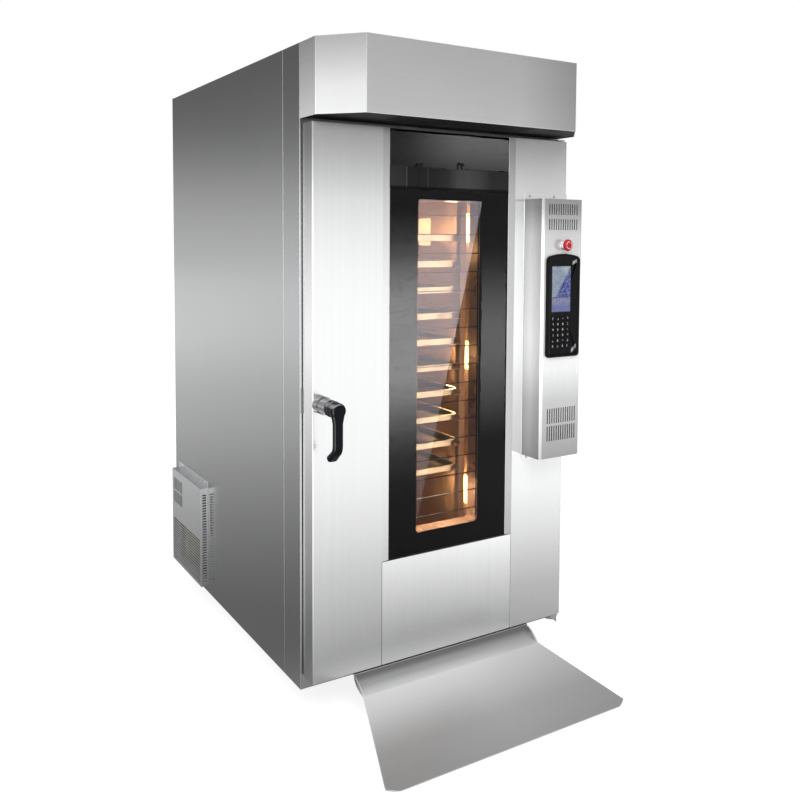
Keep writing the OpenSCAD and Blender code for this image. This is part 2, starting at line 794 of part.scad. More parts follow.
module gearmotor() {
    base_z = ceiling_z + liner_t + seat_gap;
    box_z0 = base_z + top_ins_t + 8;
    gear_h = 130;
    gear_w = 150;
    motor_dia = 120;
    motor_len = 210;
    motor_y = rack_y + gear_w / 2;
    motor_z = box_z0 + gear_h / 2;
    color("steelblue") place()
        difference() {
            union() {
                rod_z([mid_w, rack_y, base_z], 10, head_flange);
                rod_z([mid_w, rack_y, base_z], box_z0 - base_z + 1, 90);
                translate([mid_w - gear_w / 2, rack_y - gear_w / 2, box_z0])
                    linear_extrude(gear_h)
                        round_rect(gear_w, gear_w, 14);
                rod_z([mid_w, rack_y, box_z0 + gear_h], 6, 110);
                rod_y([mid_w, motor_y - 1, motor_z], 18, motor_dia);
                rod_y([mid_w, motor_y, motor_z], motor_len, motor_dia - 14);
                for (a = [0:15:345])
                    translate([mid_w, motor_y + 16, motor_z])
                        rotate([0, a, 0])
                            translate([motor_dia / 2 - 9, 0, -1.5])
                                cube([8, motor_len - 50, 3]);
            }
            rod_z([mid_w, rack_y, base_z - 1], box_z0 + gear_h + 20 - base_z, shaft_dia + 2 * run_gap);
        }
}

module flue_collar() {
    inner_r = flue_dia / 2 - flue_t;
    flange_z = z1 + seat_gap;
    // thin pipe up from the chamber, flange on the roof, collar above it
    color("silver") place()
        translate([flue_pos[0], flue_pos[1], 0])
            rotate_extrude() {
                translate([inner_r, ceiling_z])
                    square([flue_t / 2, z1 - ceiling_z + 2]);
                translate([inner_r, flange_z])
                    square([flue_t + 18, 2.7]);
                translate([inner_r, flange_z + 1])
                    square([flue_t, z1 + flue_h - flange_z - 1]);
            }
}

module water_inlet() {
    color("goldenrod") place() {
        rod_y([inlet_pos[0], cab_d - 30, inlet_pos[1]], 30 + service_reach, inlet_dia);
        rod_y([inlet_pos[0], cab_d + seat_gap / 2, inlet_pos[1]], 4, inlet_dia + 12);
        translate([inlet_pos[0], cab_d + 4, inlet_pos[1]])
            rotate([-90, 0, 0])
                cylinder(d = 38, h = 10, $fn = 6);
    }
}

module cable_gland() {
    color([0.15, 0.15, 0.15]) place()
        difference() {
            union() {
                rod_y([gland_pos[0], cab_d - 14, gland_pos[1]], 15, gland_thread);
                translate([gland_pos[0], cab_d + seat_gap / 2, gland_pos[1]])
                    rotate([-90, 0, 0])
                        cylinder(d = gland_thread + 14, h = 9, $fn = 6);
                rod_y([gland_pos[0], cab_d + 5, gland_pos[1]], 25, gland_thread + 4);
            }
            rod_y([gland_pos[0], cab_d - 20, gland_pos[1]], 60, gland_bore);
        }
}

// ---------------------------------------------------------------- door

// Skin of one stile, drawn for the left side: outer return, face, bevel beside the glass
// Plan of a stile with its outer corner bent round, drawn in by a margin
module stile_plan(face_w, m) {
    translate([bend_r, door_y0 + bend_r])
        circle(bend_r - m);
    translate([bend_r, door_y0 + m])
        square([face_w - bend_r, door_t]);
    translate([m, door_y0 + bend_r])
        square([face_w - m, door_t - bend_r + m]);
}

module stile_skin(face_w) {
    // full height face and outer return, and the caps at both ends
    translate([0, 0, door_z[0]])
        difference() {
            linear_extrude(door_h)
                stile_plan(face_w, 0);
            translate([0, 0, skin])
                linear_extrude(door_h - 2 * skin)
                    stile_plan(face_w + 1, skin);
        }
    // bevel down to the glass
    translate([0, 0, glass_z0])
        linear_extrude(door_z[1] - glass_z0)
            polygon([[face_w, door_y0], [face_w + bevel_w, door_y0 + bevel_drop],
                     [face_w + bevel_w, door_y0 + bevel_drop + skin], [face_w, door_y0 + skin]]);
}

module door_left_stile() {
    color("gainsboro") place()
        difference() {
            translate([door_x[0], 0, 0])
                stile_skin(left_stile_w);
            rod_y([lever_x, door_y0 - 1, lever_z], skin + 2, spindle_dia + 6);
        }
}

module door_right_stile() {
    color("gainsboro") place()
        difference() {
            union() {
                translate([door_x[1], 0, 0])
                    mirror([1, 0, 0])
                        difference() {
                            stile_skin(right_stile_w);
                            // clipped lower outer corner
                            translate([0, door_y0 - 1, door_z[0]])
                                rotate([0, 45, 0])
                                    cube([26, 3, 26], center = true);
                        }
                // hinge tubes for the pins
                rod_z([hinge_x, hinge_y, door_z[0]], bush_len, bush_dia - 7);
                rod_z([hinge_x, hinge_y, door_z[1] - bush_len], bush_len, bush_dia - 7);
            }
            rod_z([hinge_x, hinge_y, door_z[0] - 1], bush_len + 2, pin_dia + 2 * run_gap);
            rod_z([hinge_x, hinge_y, door_z[1] - bush_len - 1], bush_len + 2,
                  pin_dia + 2 * run_gap);
        }
}

panel_x = [door_x[0] + left_stile_w + panel_gap, door_x[1] - right_stile_w - panel_gap];

module door_bottom_panel() {
    color("gainsboro") place() {
        span(panel_x, [door_y0, door_y0 + skin], [door_z[0], glass_z0 - panel_gap]);
        span(panel_x, [door_y0, glass_y + glass_t], [glass_z0 - panel_gap - skin, glass_z0 - panel_gap]);
        span(panel_x, [door_y0, door_y1 - skin - seat_gap], [door_z[0], door_z[0] + skin]);
    }
}

module door_inner_pan() {
    x = [door_x[0] + skin + seat_gap, door_x[1] - skin - seat_gap];
    z = [door_z[0] + skin + seat_gap, door_z[1] - skin - seat_gap];
    rim = 20;
    color("lightgray") place()
        difference() {
            union() {
                span(x, [door_y1 - skin, door_y1], z);
                difference() {
                    span([x[0], hinge_x - bush_dia / 2], [door_y1 - rim, door_y1], z);
                    span([x[0] + skin, hinge_x], [door_y1 - rim - 1, door_y1 - skin],
                         [z[0] + skin, z[1] - skin]);
                }
                upright_plate(window_x, window_z, [tunnel_y, door_y1], window_r);
            }
            upright_plate([window_x[0] + skin, window_x[1] - skin],
                          [window_z[0] + skin, window_z[1] - skin],
                          [tunnel_y - 1, door_y1 + 1], window_r - skin);
            rod_y([lever_x, door_y1 - skin - 1, lever_z], skin + 2, spindle_dia + 6);
        }
}

module door_insulation() {
    m = 3;
    y = [tunnel_y + 1, door_y1 - skin - seat_gap];
    z = [door_z[0] + 4, door_z[1] - 4];
    inner = skin * 2 + 1;
    color("khaki") place() {
        difference() {
            span([door_x[0] + inner, window_x[0] - m], y, z);
            rod_y([lever_x, door_y0, lever_z], door_t, spindle_dia + 10);
            span([0, door_x[0] + inner + 1], [door_y1 - 24, 0], [0, z1]);
        }
        span([window_x[1] + m, hinge_x - bush_dia / 2 - 4], y, z);
        span([window_x[0] - m + 0.2, window_x[1] + m - 0.2], y, [z[0], window_z[0] - m]);
        span([window_x[0] - m + 0.2, window_x[1] + m - 0.2], y, [window_z[1] + m, z[1]]);
    }
}

glass_edge_x = [glass_x[0] - glass_tuck, glass_x[1] + glass_tuck];
glass_edge_z = [glass_z0, door_z[1] - skin - seat_gap];

module outer_glass() {
    color([0.2, 0.22, 0.24, 0.35]) place()
        span(glass_edge_x, [glass_y, glass_y + glass_t], glass_edge_z);
}

module glass_border() {
    color([0.04, 0.04, 0.05]) place()
        difference() {
            span(glass_edge_x, [border_y, border_y + border_t], glass_edge_z);
            upright_plate(window_x, window_z, [border_y - 1, border_y + border_t + 1], window_r);
        }
}

module inner_glass() {
    m = 18;
    color([0.7, 0.75, 0.78, 0.3]) place()
        upright_plate([window_x[0] - m, window_x[1] + m], [window_z[0] - m, window_z[1] + m],
                      [door_y1 + seat_gap, door_y1 + seat_gap + 3.5], 8);
}

module window_guard() {
    rod_dia = 3;
    rods = floor((window_h - 20) / guard_pitch);
    low = window_z[0] + (window_h - (rods - 1) * guard_pitch) / 2;
    x = [window_x[0] + skin + seat_gap, window_x[1] - skin - seat_gap];
    y = tunnel_y + 5;
    color("dimgray") place() {
        for (s = [x[0], x[1] - 1])
            span([s, s + 1], [y - 3, y + 3], [window_z[0] + window_r, window_z[1] - window_r]);
        for (i = [0:rods - 1])
            rod_x([x[0], y, low + i * guard_pitch], x[1] - x[0], rod_dia);
    }
}

bar_drop = 118;                      // from the door's top edge to the bar
bar_h = 73;
bar_z = [door_z[1] - bar_drop - bar_h, door_z[1] - bar_drop];

module glass_clamp_bar() {
    proud = 2.2;
    y = [glass_y - proud, glass_y - 0.1];
    color([0.12, 0.12, 0.13]) place() {
        span([glass_x[0] + 0.3, glass_x[1] - 0.3], y, bar_z);
        // end plate, block and clip
        span([glass_x[0] + 0.3, glass_x[0] + 50], [y[0] - 1, y[0] + 0.5], [bar_z[0] + 3, bar_z[1] + 1]);
        span([glass_x[0] + 98, glass_x[0] + 118], [y[0] - 2, y[1]], [bar_z[1] - 1, bar_z[1] + 14]);
        span([glass_x[0] + 106, glass_x[0] + 109], [y[0] - 1, y[0] + 0.5], [bar_z[0], bar_z[1] + 1]);
        for (dx = [258, 274])
            span([glass_x[0] + dx, glass_x[0] + dx + 9], [y[0] - 2, y[1]], [bar_z[1] - 1, bar_z[1] + 20]);
    }
}

module door_gasket() {
    x = [doorway_x[0] - 36, doorway_x[1] + 36];
    z = [door_z[0] + 2, doorway_z + 40];
    y = [door_y1 + seat_gap, -seat_gap];
    color([0.15, 0.15, 0.16]) place() {
        // seal up both sides and across the top
        difference() {
            span(x, y, z);
            span([x[0] + gasket_w, x[1] - gasket_w], [y[0] - 1, y[1] + 1],
                 [z[0] - 1, z[1] - gasket_w]);
        }
        // wiper along the bottom, just over the ramp's lip
        span([x[0] + gasket_w + seat_gap, x[1] - gasket_w - seat_gap], y,
             [ramp_top_z + 0.4, door_z[0] + 12]);
    }
}

// ---------------------------------------------------------------- control box

// One row of upright vent slots
module vent_row(x, z, h) {
    for (i = [0:vent_slots - 1])
        span([x + i * vent_pitch, x + i * vent_pitch + vent_slot_w],
             [box_y0 - 1, box_y0 + box_sheet + 1], [z, z + h]);
}

module box_plan(m) {
    r = 6 - m;
    w = box_w - 2 * m;
    translate([box_x[0] + m, box_y0 + m])
        difference() {
            round_rect(w, box_d + r, r);
            translate([-1, box_d - m])
                square([w + 2, 2 * r + 20]);
        }
}

module control_box() {
    bezel_x0 = bezel_mid_x - bezel_w / 2;
    color("gainsboro") place()
        difference() {
            translate([0, 0, box_z[0]])
                linear_extrude(box_h)
                    box_plan(0);
            translate([0, 0, box_z[0] + box_sheet])
                linear_extrude(box_h - 2 * box_sheet)
                    union() {
                        box_plan(box_sheet);
                        translate([box_x[0] + box_sheet, box_y1 - 10])
                            square([box_w - 2 * box_sheet, 11]);
                    }
            for (z = [781, 720])
                vent_row(box_x[0] + 33, z0 + z, 52);
            for (z = [1499, 1448])
                vent_row(box_x[0] + 30, z0 + z, 37);
            span([bezel_x0 + 8, bezel_x0 + bezel_w - 8], [box_y0 - 1, box_y0 + box_sheet + 1],
                 [bezel_z0 + 10, bezel_z0 + bezel_h - 12]);
            rod_y([stop_x, box_y0 - 1, stop_z], box_sheet + 2, stop_hole);
        }
}

module control_box_backplate() {
    z = [box_z[0] - 20, box_z[1] + 22];
    color("gainsboro") place()
        difference() {
            span(plate_x, [box_y1, door_y0 - 0.1], z);
            for (x = [box_x[0] + 20, box_x[0] + 130], zz = [z[0] + 9, z[1] - 10])
                rod_y([x, box_y1 - 1, zz], plate_t + 2, 5);
        }
}

module door_screws() {
    z = [box_z[0] - 20, box_z[1] + 22];
    color("dimgray") place()
        for (x = [box_x[0] + 20, box_x[0] + 130], zz = [z[0] + 9, z[1] - 10]) {
            screw_front(x, box_y1 - 0.05, zz);
            rod_y([x, box_y1 - 0.05, zz], 2, 4.4);
        }
}

module controller_bezel() {
    x0 = bezel_mid_x - bezel_w / 2;
    crown = 14;
    color([0.05, 0.05, 0.05]) place()
        difference() {
            union() {
                upright_plate([x0, x0 + bezel_w], [bezel_z0, bezel_z0 + bezel_h - crown],
                              [box_y0 - bezel_t, box_y0 - 0.1], 16);
                // crowned top edge
                intersection() {
                    translate([bezel_mid_x, box_y0 - 0.1, bezel_z0 + bezel_h - 220])
                        rotate([90, 0, 0])
                            cylinder(r = 220, h = bezel_t - 0.1, $fn = 96);
                    upright_plate([x0, x0 + bezel_w], [bezel_z0 + 40, bezel_z0 + bezel_h + 20],
                                  [box_y0 - bezel_t, box_y0 - 0.1], 12);
                }
            }
            // recesses for the screen and the keys
            upright_plate([x0 + 17, x0 + 102], [bezel_z0 + 156, bezel_z0 + 314],
                          [box_y0 - bezel_t - 1, box_y0 - bezel_t + 4], 3);
            upright_plate([x0 + 13, x0 + 101], [bezel_z0 + 30, bezel_z0 + 142],
                          [box_y0 - bezel_t - 1, box_y0 - bezel_t + 3], 5);
        }
    // body behind the bezel, inside the box
    color([0.1, 0.1, 0.1]) place()
        span([x0 + 12, x0 + bezel_w - 12], [box_y0 - 0.1, box_y0 + 45],
             [bezel_z0 + 14, bezel_z0 + bezel_h - 16]);
}

module controller_screen() {
    x0 = bezel_mid_x - bezel_w / 2;
    color([0.4, 0.5, 0.62]) place()
        upright_plate([x0 + 17.3, x0 + 101.7], [bezel_z0 + 156.3, bezel_z0 + 313.7],
                      [box_y0 - bezel_t + 1, box_y0 - bezel_t + 3.9], 2.8);
}

module keypad() {
    x0 = bezel_mid_x - bezel_w / 2;
    columns = 4;
    rows = 6;
    key_w = 15;
    key_h = 11;
    pitch_x = 22;
    pitch_z = 18.8;
    color([0.12, 0.12, 0.13]) place() {
        upright_plate([x0 + 13.3, x0 + 100.7], [bezel_z0 + 30.3, bezel_z0 + 141.7],
                      [box_y0 - bezel_t + 1.2, box_y0 - bezel_t + 2.9], 4.8);
        for (i = [0:columns - 1], j = [0:rows - 1])
            translate([x0 + 16.5 + i * pitch_x, box_y0 - bezel_t + 1.3, bezel_z0 + 34.2 + j * pitch_z])
                rotate([90, 0, 0])
                    linear_extrude(0.9)
                        round_rect(key_w, key_h, 2.5);
    }
}

module estop_collar() {
    color("silver") place()
        translate([stop_x, box_y0 - 0.1, stop_z])
            rotate([90, 0, 0])
                difference() {
                    rotate_extrude()
                        polygon([[0, -8], [11, -8], [11, 0], [16, 0], [16, 3], [14.5, 5],
                                 [14.5, stop_ring - 2], [13, stop_ring], [0, stop_ring]]);
                    translate([0, 0, -9])
                        cylinder(d = 12 + 2 * run_gap, h = 30);
                }
}

// ---------------------------------------------------------------- emergency stop

stop_head_y = box_y0 - 0.1 - stop_ring - stop_travel - 1;   // back of the mushroom head

module estop_stem() {
    color("dimgray") place()
        difference() {
            rod_y([stop_x, stop_head_y - 4, stop_z], box_y0 + 12 - stop_head_y, 12);
        }
}

module estop_head() {
    r = stop_dia / 2;
    color("red") place()
        translate([stop_x, stop_head_y, stop_z])
            rotate([90, 0, 0])
                difference() {
                    rotate_extrude()
                        polygon([[0, 0], [r - 4, 0], [r - 1, 1.5], [r, 4], [r, 9], [r - 1.5, 13],
                                 [r - 6, 16], [r - 12, 17.3], [0, 17.8]]);
                    translate([0, 0, -1])
                        cylinder(d = 12 + 2 * run_gap, h = 5.2);
                }
}

// ---------------------------------------------------------------- lever

hub_y = door_y0 - hub_reach;
hub_len = 54;
ring_len = 18;   // thicker ring of the hub, next to the neck
neck_dia = 50;

module lever_grip() {
    grip_w = 25;
    tip_y = hub_y + 36;
    bend_z = 43 - lever_len;   // where the arm bends in
    color([0.08, 0.08, 0.08]) place() {
        difference() {
            union() {
                rod_y([lever_x, hub_y, lever_z], hub_len, hub_dia - 3);
                rod_y([lever_x, hub_y + hub_len - ring_len, lever_z], ring_len, hub_dia);
            }
            rod_y([lever_x, hub_y + 12, lever_z], hub_len, spindle_dia + 2 * run_gap);
        }
        // arm, and its tip turned in towards the door
        hull() {
            translate([lever_x, hub_y + 14, lever_z - 20])
                rotate([0, 90, 0])
                    cylinder(d = 20, h = grip_w + 6, center = true, $fn = hull_fn);
            translate([lever_x, hub_y + 13, lever_z - 60])
                rotate([0, 90, 0])
                    cylinder(d = 18, h = grip_w, center = true, $fn = hull_fn);
        }
        hull()
            for (z = [-60, bend_z])
                translate([lever_x, hub_y + 13, lever_z + z])
                    rotate([0, 90, 0])
                        cylinder(d = 18, h = grip_w, center = true, $fn = hull_fn);
        hull() {
            translate([lever_x, hub_y + 13, lever_z + bend_z])
                rotate([0, 90, 0])
                    cylinder(d = 18, h = grip_w, center = true, $fn = hull_fn);
            translate([lever_x, tip_y, lever_z - lever_len + 8])
                rotate([0, 90, 0])
                    cylinder(d = 16, h = grip_w + 3, center = true, $fn = hull_fn);
        }
    }
}

// Stepped steel neck, fixed to the door, in which the spindle turns
module lever_neck() {
    front = hub_y + hub_len + seat_gap;
    color("silver") place()
        difference() {
            union() {
                rod_y([lever_x, front, lever_z], door_y0 - seat_gap - front, neck_dia);
                rod_y([lever_x, door_y0 - 26, lever_z], 26 - seat_gap, neck_dia + 6);
            }
            rod_y([lever_x, front - 1, lever_z], door_y0 - front + 2, spindle_dia + 2 * run_gap);
        }
}

module lever_spindle() {
    tongue = 44;
    start = hub_y + 12 + seat_gap;
    color("silver") place() {
        rod_y([lever_x, start, lever_z], 10 - start, spindle_dia);
        // flat tongue that lies across the keeper's upright slot
        translate([lever_x - tongue / 2, 1, lever_z - 7])
            cube([tongue, 9, 14]);
    }
}

// ---------------------------------------------------------------- circulation fan

module fan_impeller() {
    r = fan_dia / 2;
    blade_h = 80;
    hub_r = 26;
    inner_r = r * 0.62;
    blade_r = r * 0.75;
    color("gray") place()
        translate([fan_pos[0], fan_pos[1], impeller_z]) {
            cylinder(d = fan_shaft, h = ceiling_z - impeller_z + 100);
            translate([0, 0, 0])
                cylinder(r = r, h = 3);
            cylinder(r = hub_r, h = 30);
            // front ring
            translate([0, 0, -blade_h])
                difference() {
                    cylinder(r = r, h = 3);
                    translate([0, 0, -1])
                        cylinder(r = inner_r, h = 5);
                }
            // curved blades between the back plate and the ring
            for (i = [0:fan_blades - 1])
                rotate([0, 0, i * 360 / fan_blades])
                    translate([0, 0, -blade_h + 2])
                        linear_extrude(blade_h - 1)
                            intersection() {
                                translate([inner_r - 6, blade_r * 0.62])
                                    difference() {
                                        circle(r = blade_r * 0.72);
                                        circle(r = blade_r * 0.72 - 3);
                                    }
                                difference() {
                                    circle(r = r - 1);
                                    circle(r = inner_r);
                                    translate([-2 * r, -3 * r])
                                        square([2 * r, 6 * r]);
                                    translate([0, blade_r * 0.62])
                                        square([2 * r, 2 * r]);
                                }
                            }
        }
}

// ---------------------------------------------------------------- ramp

ramp_top_z = sill_z + seat_gap + ramp_t;
ramp_lip_y = 20;

module ramp_plate() {
    toe_y = door_y0 - ramp_reach;
    nose_y = door_y0 - 4;
    knee = [door_y0 - 66, z0 - 1];       // where the steep nose runs out into the flat slope
    clip = [40, 22];                     // cut front corners, across and along
    flat_x = [post_w - 1, cab_w - post_w - 4];
    color("silver") place() {
        intersection() {
            // side profile: lip on the sill, rounded nose, concave sweep, straight slope to the floor
            translate([0, 0, 0])
                rotate([90, 0, 90])
                    linear_extrude(cab_w)
                        difference() {
                            polygon(concat(
                                [[ramp_lip_y, ramp_top_z], [nose_y, ramp_top_z]],
                                [for (t = [0:0.1:1]) ramp_curve(t, nose_y, knee, 0)],
                                [[toe_y, 0], [toe_y + ramp_t * 3.6, 0]],
                                [for (t = [1:-0.1:0]) ramp_curve(t, nose_y, knee, ramp_t)],
                                [[ramp_lip_y, ramp_top_z - ramp_t]]));
                        }
            // plan: narrow lip in the doorway, flared below it, clipped front corners
            linear_extrude(ramp_top_z + 10)
                polygon([[post_w + 1, ramp_lip_y + 1], [post_w + 1, -1], [flat_x[0], -1], [flat_x[0], knee[0]],
                         [flat_x[0] - ramp_flare, toe_y + clip[1]], [flat_x[0] - ramp_flare + clip[0], toe_y - 1],
                         [flat_x[1] + ramp_flare - clip[0], toe_y - 1], [flat_x[1] + ramp_flare, toe_y + clip[1]],
                         [flat_x[1], knee[0]], [flat_x[1], ramp_lip_y + 1]]);
        }
        // webs in the corners of the bend
        for (x = [flat_x[0], flat_x[1] - ramp_t])
            translate([x, 0, 0])
                rotate([90, 0, 90])
                    linear_extrude(ramp_t)
                        polygon([ramp_curve(0.1, nose_y, knee, 1), ramp_curve(0.5, nose_y, knee, 1),
                                 ramp_curve(1, nose_y, knee, 1), [knee[0] + 8, knee[1] + 9],
                                 [door_y0 - 34, z0 + 26], [nose_y - 6, ramp_top_z - 4]]);
    }
}

// Points of the concave sweep from the nose to the knee, drawn in by a thickness
function ramp_curve(t, nose_y, knee, inset) =
    let (a = [nose_y, ramp_top_z], b = [nose_y - 4, knee[1] + 8], c = knee)
    [(1 - t) * (1 - t) * a[0] + 2 * t * (1 - t) * b[0] + t * t * c[0] + inset * (1 - 0.6 * t),
     (1 - t) * (1 - t) * a[1] + 2 * t * (1 - t) * b[1] + t * t * c[1] - inset];

// ---------------------------------------------------------------- rack

channel_len = 420;

module rack_carrier() {
    channel_w = 92;
    top_z = trolley_top_z + 22;
    shaft_top = ceiling_z + liner_t + top_ins_t + 120;
    lip_z = trolley_top_z - rail_head_t - 0.3;
    color("gray") place() {
        rod_z([mid_w, rack_y, top_z], shaft_top - top_z, shaft_dia);
        rod_z([mid_w, rack_y, top_z], 16, 130);
        rod_z([mid_w, rack_y, ceiling_z - 14], 8, 110);
        difference() {
            span([mid_w - channel_w / 2, mid_w + channel_w / 2],
                 [rack_y - channel_len / 2, rack_y + channel_len / 2], [lip_z - 6, top_z]);
            span([mid_w - channel_w / 2 + 6, mid_w + channel_w / 2 - 6],
                 [rack_y - channel_len / 2 - 1, rack_y + channel_len / 2 - 6], [lip_z, top_z - 6]);
            span([mid_w - rail_web / 2 - 6, mid_w + rail_web / 2 + 6],
                 [rack_y - channel_len / 2 - 1, rack_y + channel_len / 2 - 6], [lip_z - 7, top_z - 6]);
        }
    }
}

// Runner on one side of the trolley at a height: upright leg and ledge under the tray
module runner(z) {
    span([tray_x[0] - 5, tray_x[0] - 5 + runner_t], [tray_y[0], tray_y[1]], [z - runner_t, z + 14]);
    span([tray_x[0] - 5, tray_x[0] + ledge], [tray_y[0], tray_y[1]], [z - runner_t - seat_gap, z - seat_gap]);
}

// Legs and axle of a castor whose wheel centre lies behind its stem by the trail
module castor_fork() {
    inner = wheel_w / 2 + fork_gap;
    for (s = [-1, 1])
        translate([s * (inner + fork_t / 2), 0, 0])
            hull() {
                translate([0, castor_trail, wheel_z])
                    rotate([0, 90, 0])
                        cylinder(d = 26, h = fork_t, center = true, $fn = hull_fn);
                translate([-fork_t / 2, -18, crown_z - 6])
                    cube([fork_t, 44, 6]);
            }
    translate([-inner - fork_t, -22, crown_z - 5])
        cube([2 * (inner + fork_t), 48, 5]);
    rod_x([-inner - fork_t - 3, castor_trail, wheel_z], 2 * (inner + fork_t + 3), axle_dia);
}

module swivel_fork(x) {
    color("silver") place()
        translate([x, castor_y[0], 0])
            difference() {
                union() {
                    castor_fork();
                    rod_z([0, 0, crown_z - 5], 10.5, 40);
                }
                rod_z([0, 0, crown_z - 20], 50, axle_dia + 2 * run_gap);
            }
}

module castor_fork_left() {
    swivel_fork(castor_x[0]);
}

module castor_fork_right() {
    swivel_fork(castor_x[1]);
}

module castor_wheel(x, y) {
    r = wheel_dia / 2;
    w = wheel_w / 2;
    color([0.2, 0.2, 0.2]) place()
        translate([x, y + castor_trail, wheel_z])
            rotate([0, 90, 0])
                difference() {
                    rotate_extrude()
                        polygon([[0, -w], [14, -w], [14, -w + 5], [r - 14, -w + 5], [r - 12, -w + 1],
                                 [r - 3, -w + 1], [r, -w + 5], [r, w - 5], [r - 3, w - 1],
                                 [r - 12, w - 1], [r - 14, w - 5], [14, w - 5], [14, w], [0, w]]);
                    cylinder(d = axle_dia + 2 * run_gap, h = wheel_w + 4, center = true);
                }
}

module front_left_wheel() {
    castor_wheel(castor_x[0], castor_y[0]);
}

module front_right_wheel() {
    castor_wheel(castor_x[1], castor_y[0]);
}

module rear_left_wheel() {
    castor_wheel(castor_x[0], castor_y[1]);
}

module rear_right_wheel() {
    castor_wheel(castor_x[1], castor_y[1]);
}

module trolley_frame() {
    x = [post_x[0], post_x[1] + tube];
    y = [post_y[0], post_y[1] + tube];
    tee_y = [rack_y - channel_len / 2 + 10, rack_y + channel_len / 2 - 7];
    beam = 20;
    color("silver") place() {
        for (px = post_x, py = post_y)
            span([px, px + tube], [py, py + tube], [chassis_z, trolley_top_z - rail_head_t - 30]);
        // chassis and head frame
        for (z = [chassis_z, trolley_top_z - rail_head_t - 30 - beam]) {
            for (py = [y[0], y[1] - tube])
                span(x, [py, py + tube], [z, z + beam]);
            for (px = [x[0], x[1] - tube])
                span([px, px + tube], y, [z, z + beam]);
        }
        // runners on both sides
        for (i = [0:tray_count - 1]) {
            runner(tray_top_z - i * tray_pitch);
            translate([2 * mid_w, 0, 0])
                mirror([1, 0, 0])
                    runner(tray_top_z - i * tray_pitch);
        }
        // head rail: its tee hooks into the turning channel
        span([mid_w - rail_web / 2, mid_w + rail_web / 2], y,
             [trolley_top_z - rail_head_t - 50, trolley_top_z - rail_head_t - 12]);
        span([mid_w - rail_web / 2, mid_w + rail_web / 2], tee_y,
             [trolley_top_z - rail_head_t - 13, trolley_top_z]);
        span([mid_w - rail_head / 2, mid_w + rail_head / 2], tee_y,
             [trolley_top_z - rail_head_t, trolley_top_z]);
        // castor plates; the front pair carries kingpins, the rear pair fixed forks
        for (cx = castor_x, cy = castor_y)
            span([cx - 40, cx + 40], [cy - 45, cy + 45], [chassis_z - 6, chassis_z]);
        for (cx = castor_x) {
            rod_z([cx, castor_y[0], crown_z - 9], chassis_z - 5 - crown_z + 9, axle_dia);
            rod_z([cx, castor_y[0], crown_z - 9], 3.7, axle_dia + 8);
            translate([cx, castor_y[1], 0]) {
                castor_fork();
                rod_z([0, 0, crown_z - 1], chassis_z - 5 - crown_z, 50);
            }
        }
        // cross bars that tie the castor plates to the chassis
        for (cy = castor_y)
            span(x, [cy - 12, cy + 12], [chassis_z, chassis_z + 6]);
    }
}

// One baking tray with its floor on the plane z
module tray(z) {
    rim = 6;
    t = 1.5;
    r = 28;
    w = tray_w - 2 * rim;
    l = tray_len - 2 * rim;
    translate([tray_x[0], tray_y[0], z])
        difference() {
            union() {
                translate([rim, rim, 0])
                    linear_extrude(tray_h)
                        round_rect(w, l, r);
                translate([0, 0, tray_h - 3])
                    linear_extrude(3)
                        round_rect(tray_w, tray_len, r + rim);
            }
            translate([rim + t, rim + t, t])
                linear_extrude(tray_h)
                    round_rect(w - 2 * t, l - 2 * t, r - t);
        }
}

module baking_trays() {
    color("darkgray") place()
        for (i = [0:tray_count - 1])
            tray(tray_top_z - i * tray_pitch);
}

// ---------------------------------------------------------------- nodes

base_frame();
levelling_feet();
floor_pan();
front_frame();
left_side_panel();
right_side_panel();
rear_panel();
roof_panel();
cabinet_insulation();
chamber_walls();
chamber_rear_wall();
heating_elements();
fan_motor();
steam_cascade();
lamp_housings();
lamp_glasses();
hood_shell();
hood_base();
side_vent_cover();
cover_screws();
hinge_brackets();
latch_keeper();
gearmotor();
flue_collar();
water_inlet();
cable_gland();
door_left_stile();
door_right_stile();
door_bottom_panel();
door_inner_pan();
door_insulation();
outer_glass();
glass_border();
inner_glass();
window_guard();
glass_clamp_bar();
door_gasket();
control_box();
control_box_backplate();
door_screws();
controller_bezel();
controller_screen();
keypad();
estop_collar();
lever_neck();
lever_grip();
lever_spindle();
estop_stem();
estop_head();
fan_impeller();
ramp_plate();
rack_carrier();
trolley_frame();
baking_trays();
castor_fork_left();
castor_fork_right();
front_left_wheel();
front_right_wheel();
rear_left_wheel();
rear_right_wheel();
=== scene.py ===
import math

import bmesh
import bpy
import numpy as np
from mathutils import Matrix, Vector


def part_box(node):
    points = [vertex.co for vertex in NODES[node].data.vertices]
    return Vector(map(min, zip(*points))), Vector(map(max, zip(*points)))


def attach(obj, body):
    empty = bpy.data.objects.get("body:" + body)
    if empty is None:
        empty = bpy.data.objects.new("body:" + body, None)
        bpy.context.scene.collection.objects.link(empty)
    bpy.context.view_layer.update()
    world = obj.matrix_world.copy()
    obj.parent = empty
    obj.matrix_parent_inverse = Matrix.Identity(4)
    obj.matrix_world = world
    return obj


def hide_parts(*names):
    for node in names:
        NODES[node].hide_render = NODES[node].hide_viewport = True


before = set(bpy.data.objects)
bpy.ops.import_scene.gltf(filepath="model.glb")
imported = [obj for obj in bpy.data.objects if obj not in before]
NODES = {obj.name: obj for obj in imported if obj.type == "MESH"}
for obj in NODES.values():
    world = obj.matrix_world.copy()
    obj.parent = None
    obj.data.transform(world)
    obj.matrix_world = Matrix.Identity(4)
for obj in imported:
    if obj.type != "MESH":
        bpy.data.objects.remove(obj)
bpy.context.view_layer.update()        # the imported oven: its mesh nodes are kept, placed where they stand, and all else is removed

bl_info = {
    "name": "Rotating rack oven",
    "version": (1, 0, 0),
    "blender": (4, 5, 0),
    "location": "View3D > Sidebar > Rack Oven",
    "description": "Finishes the packed rotating rack oven and sets up its studio",
    "category": "Object",
}

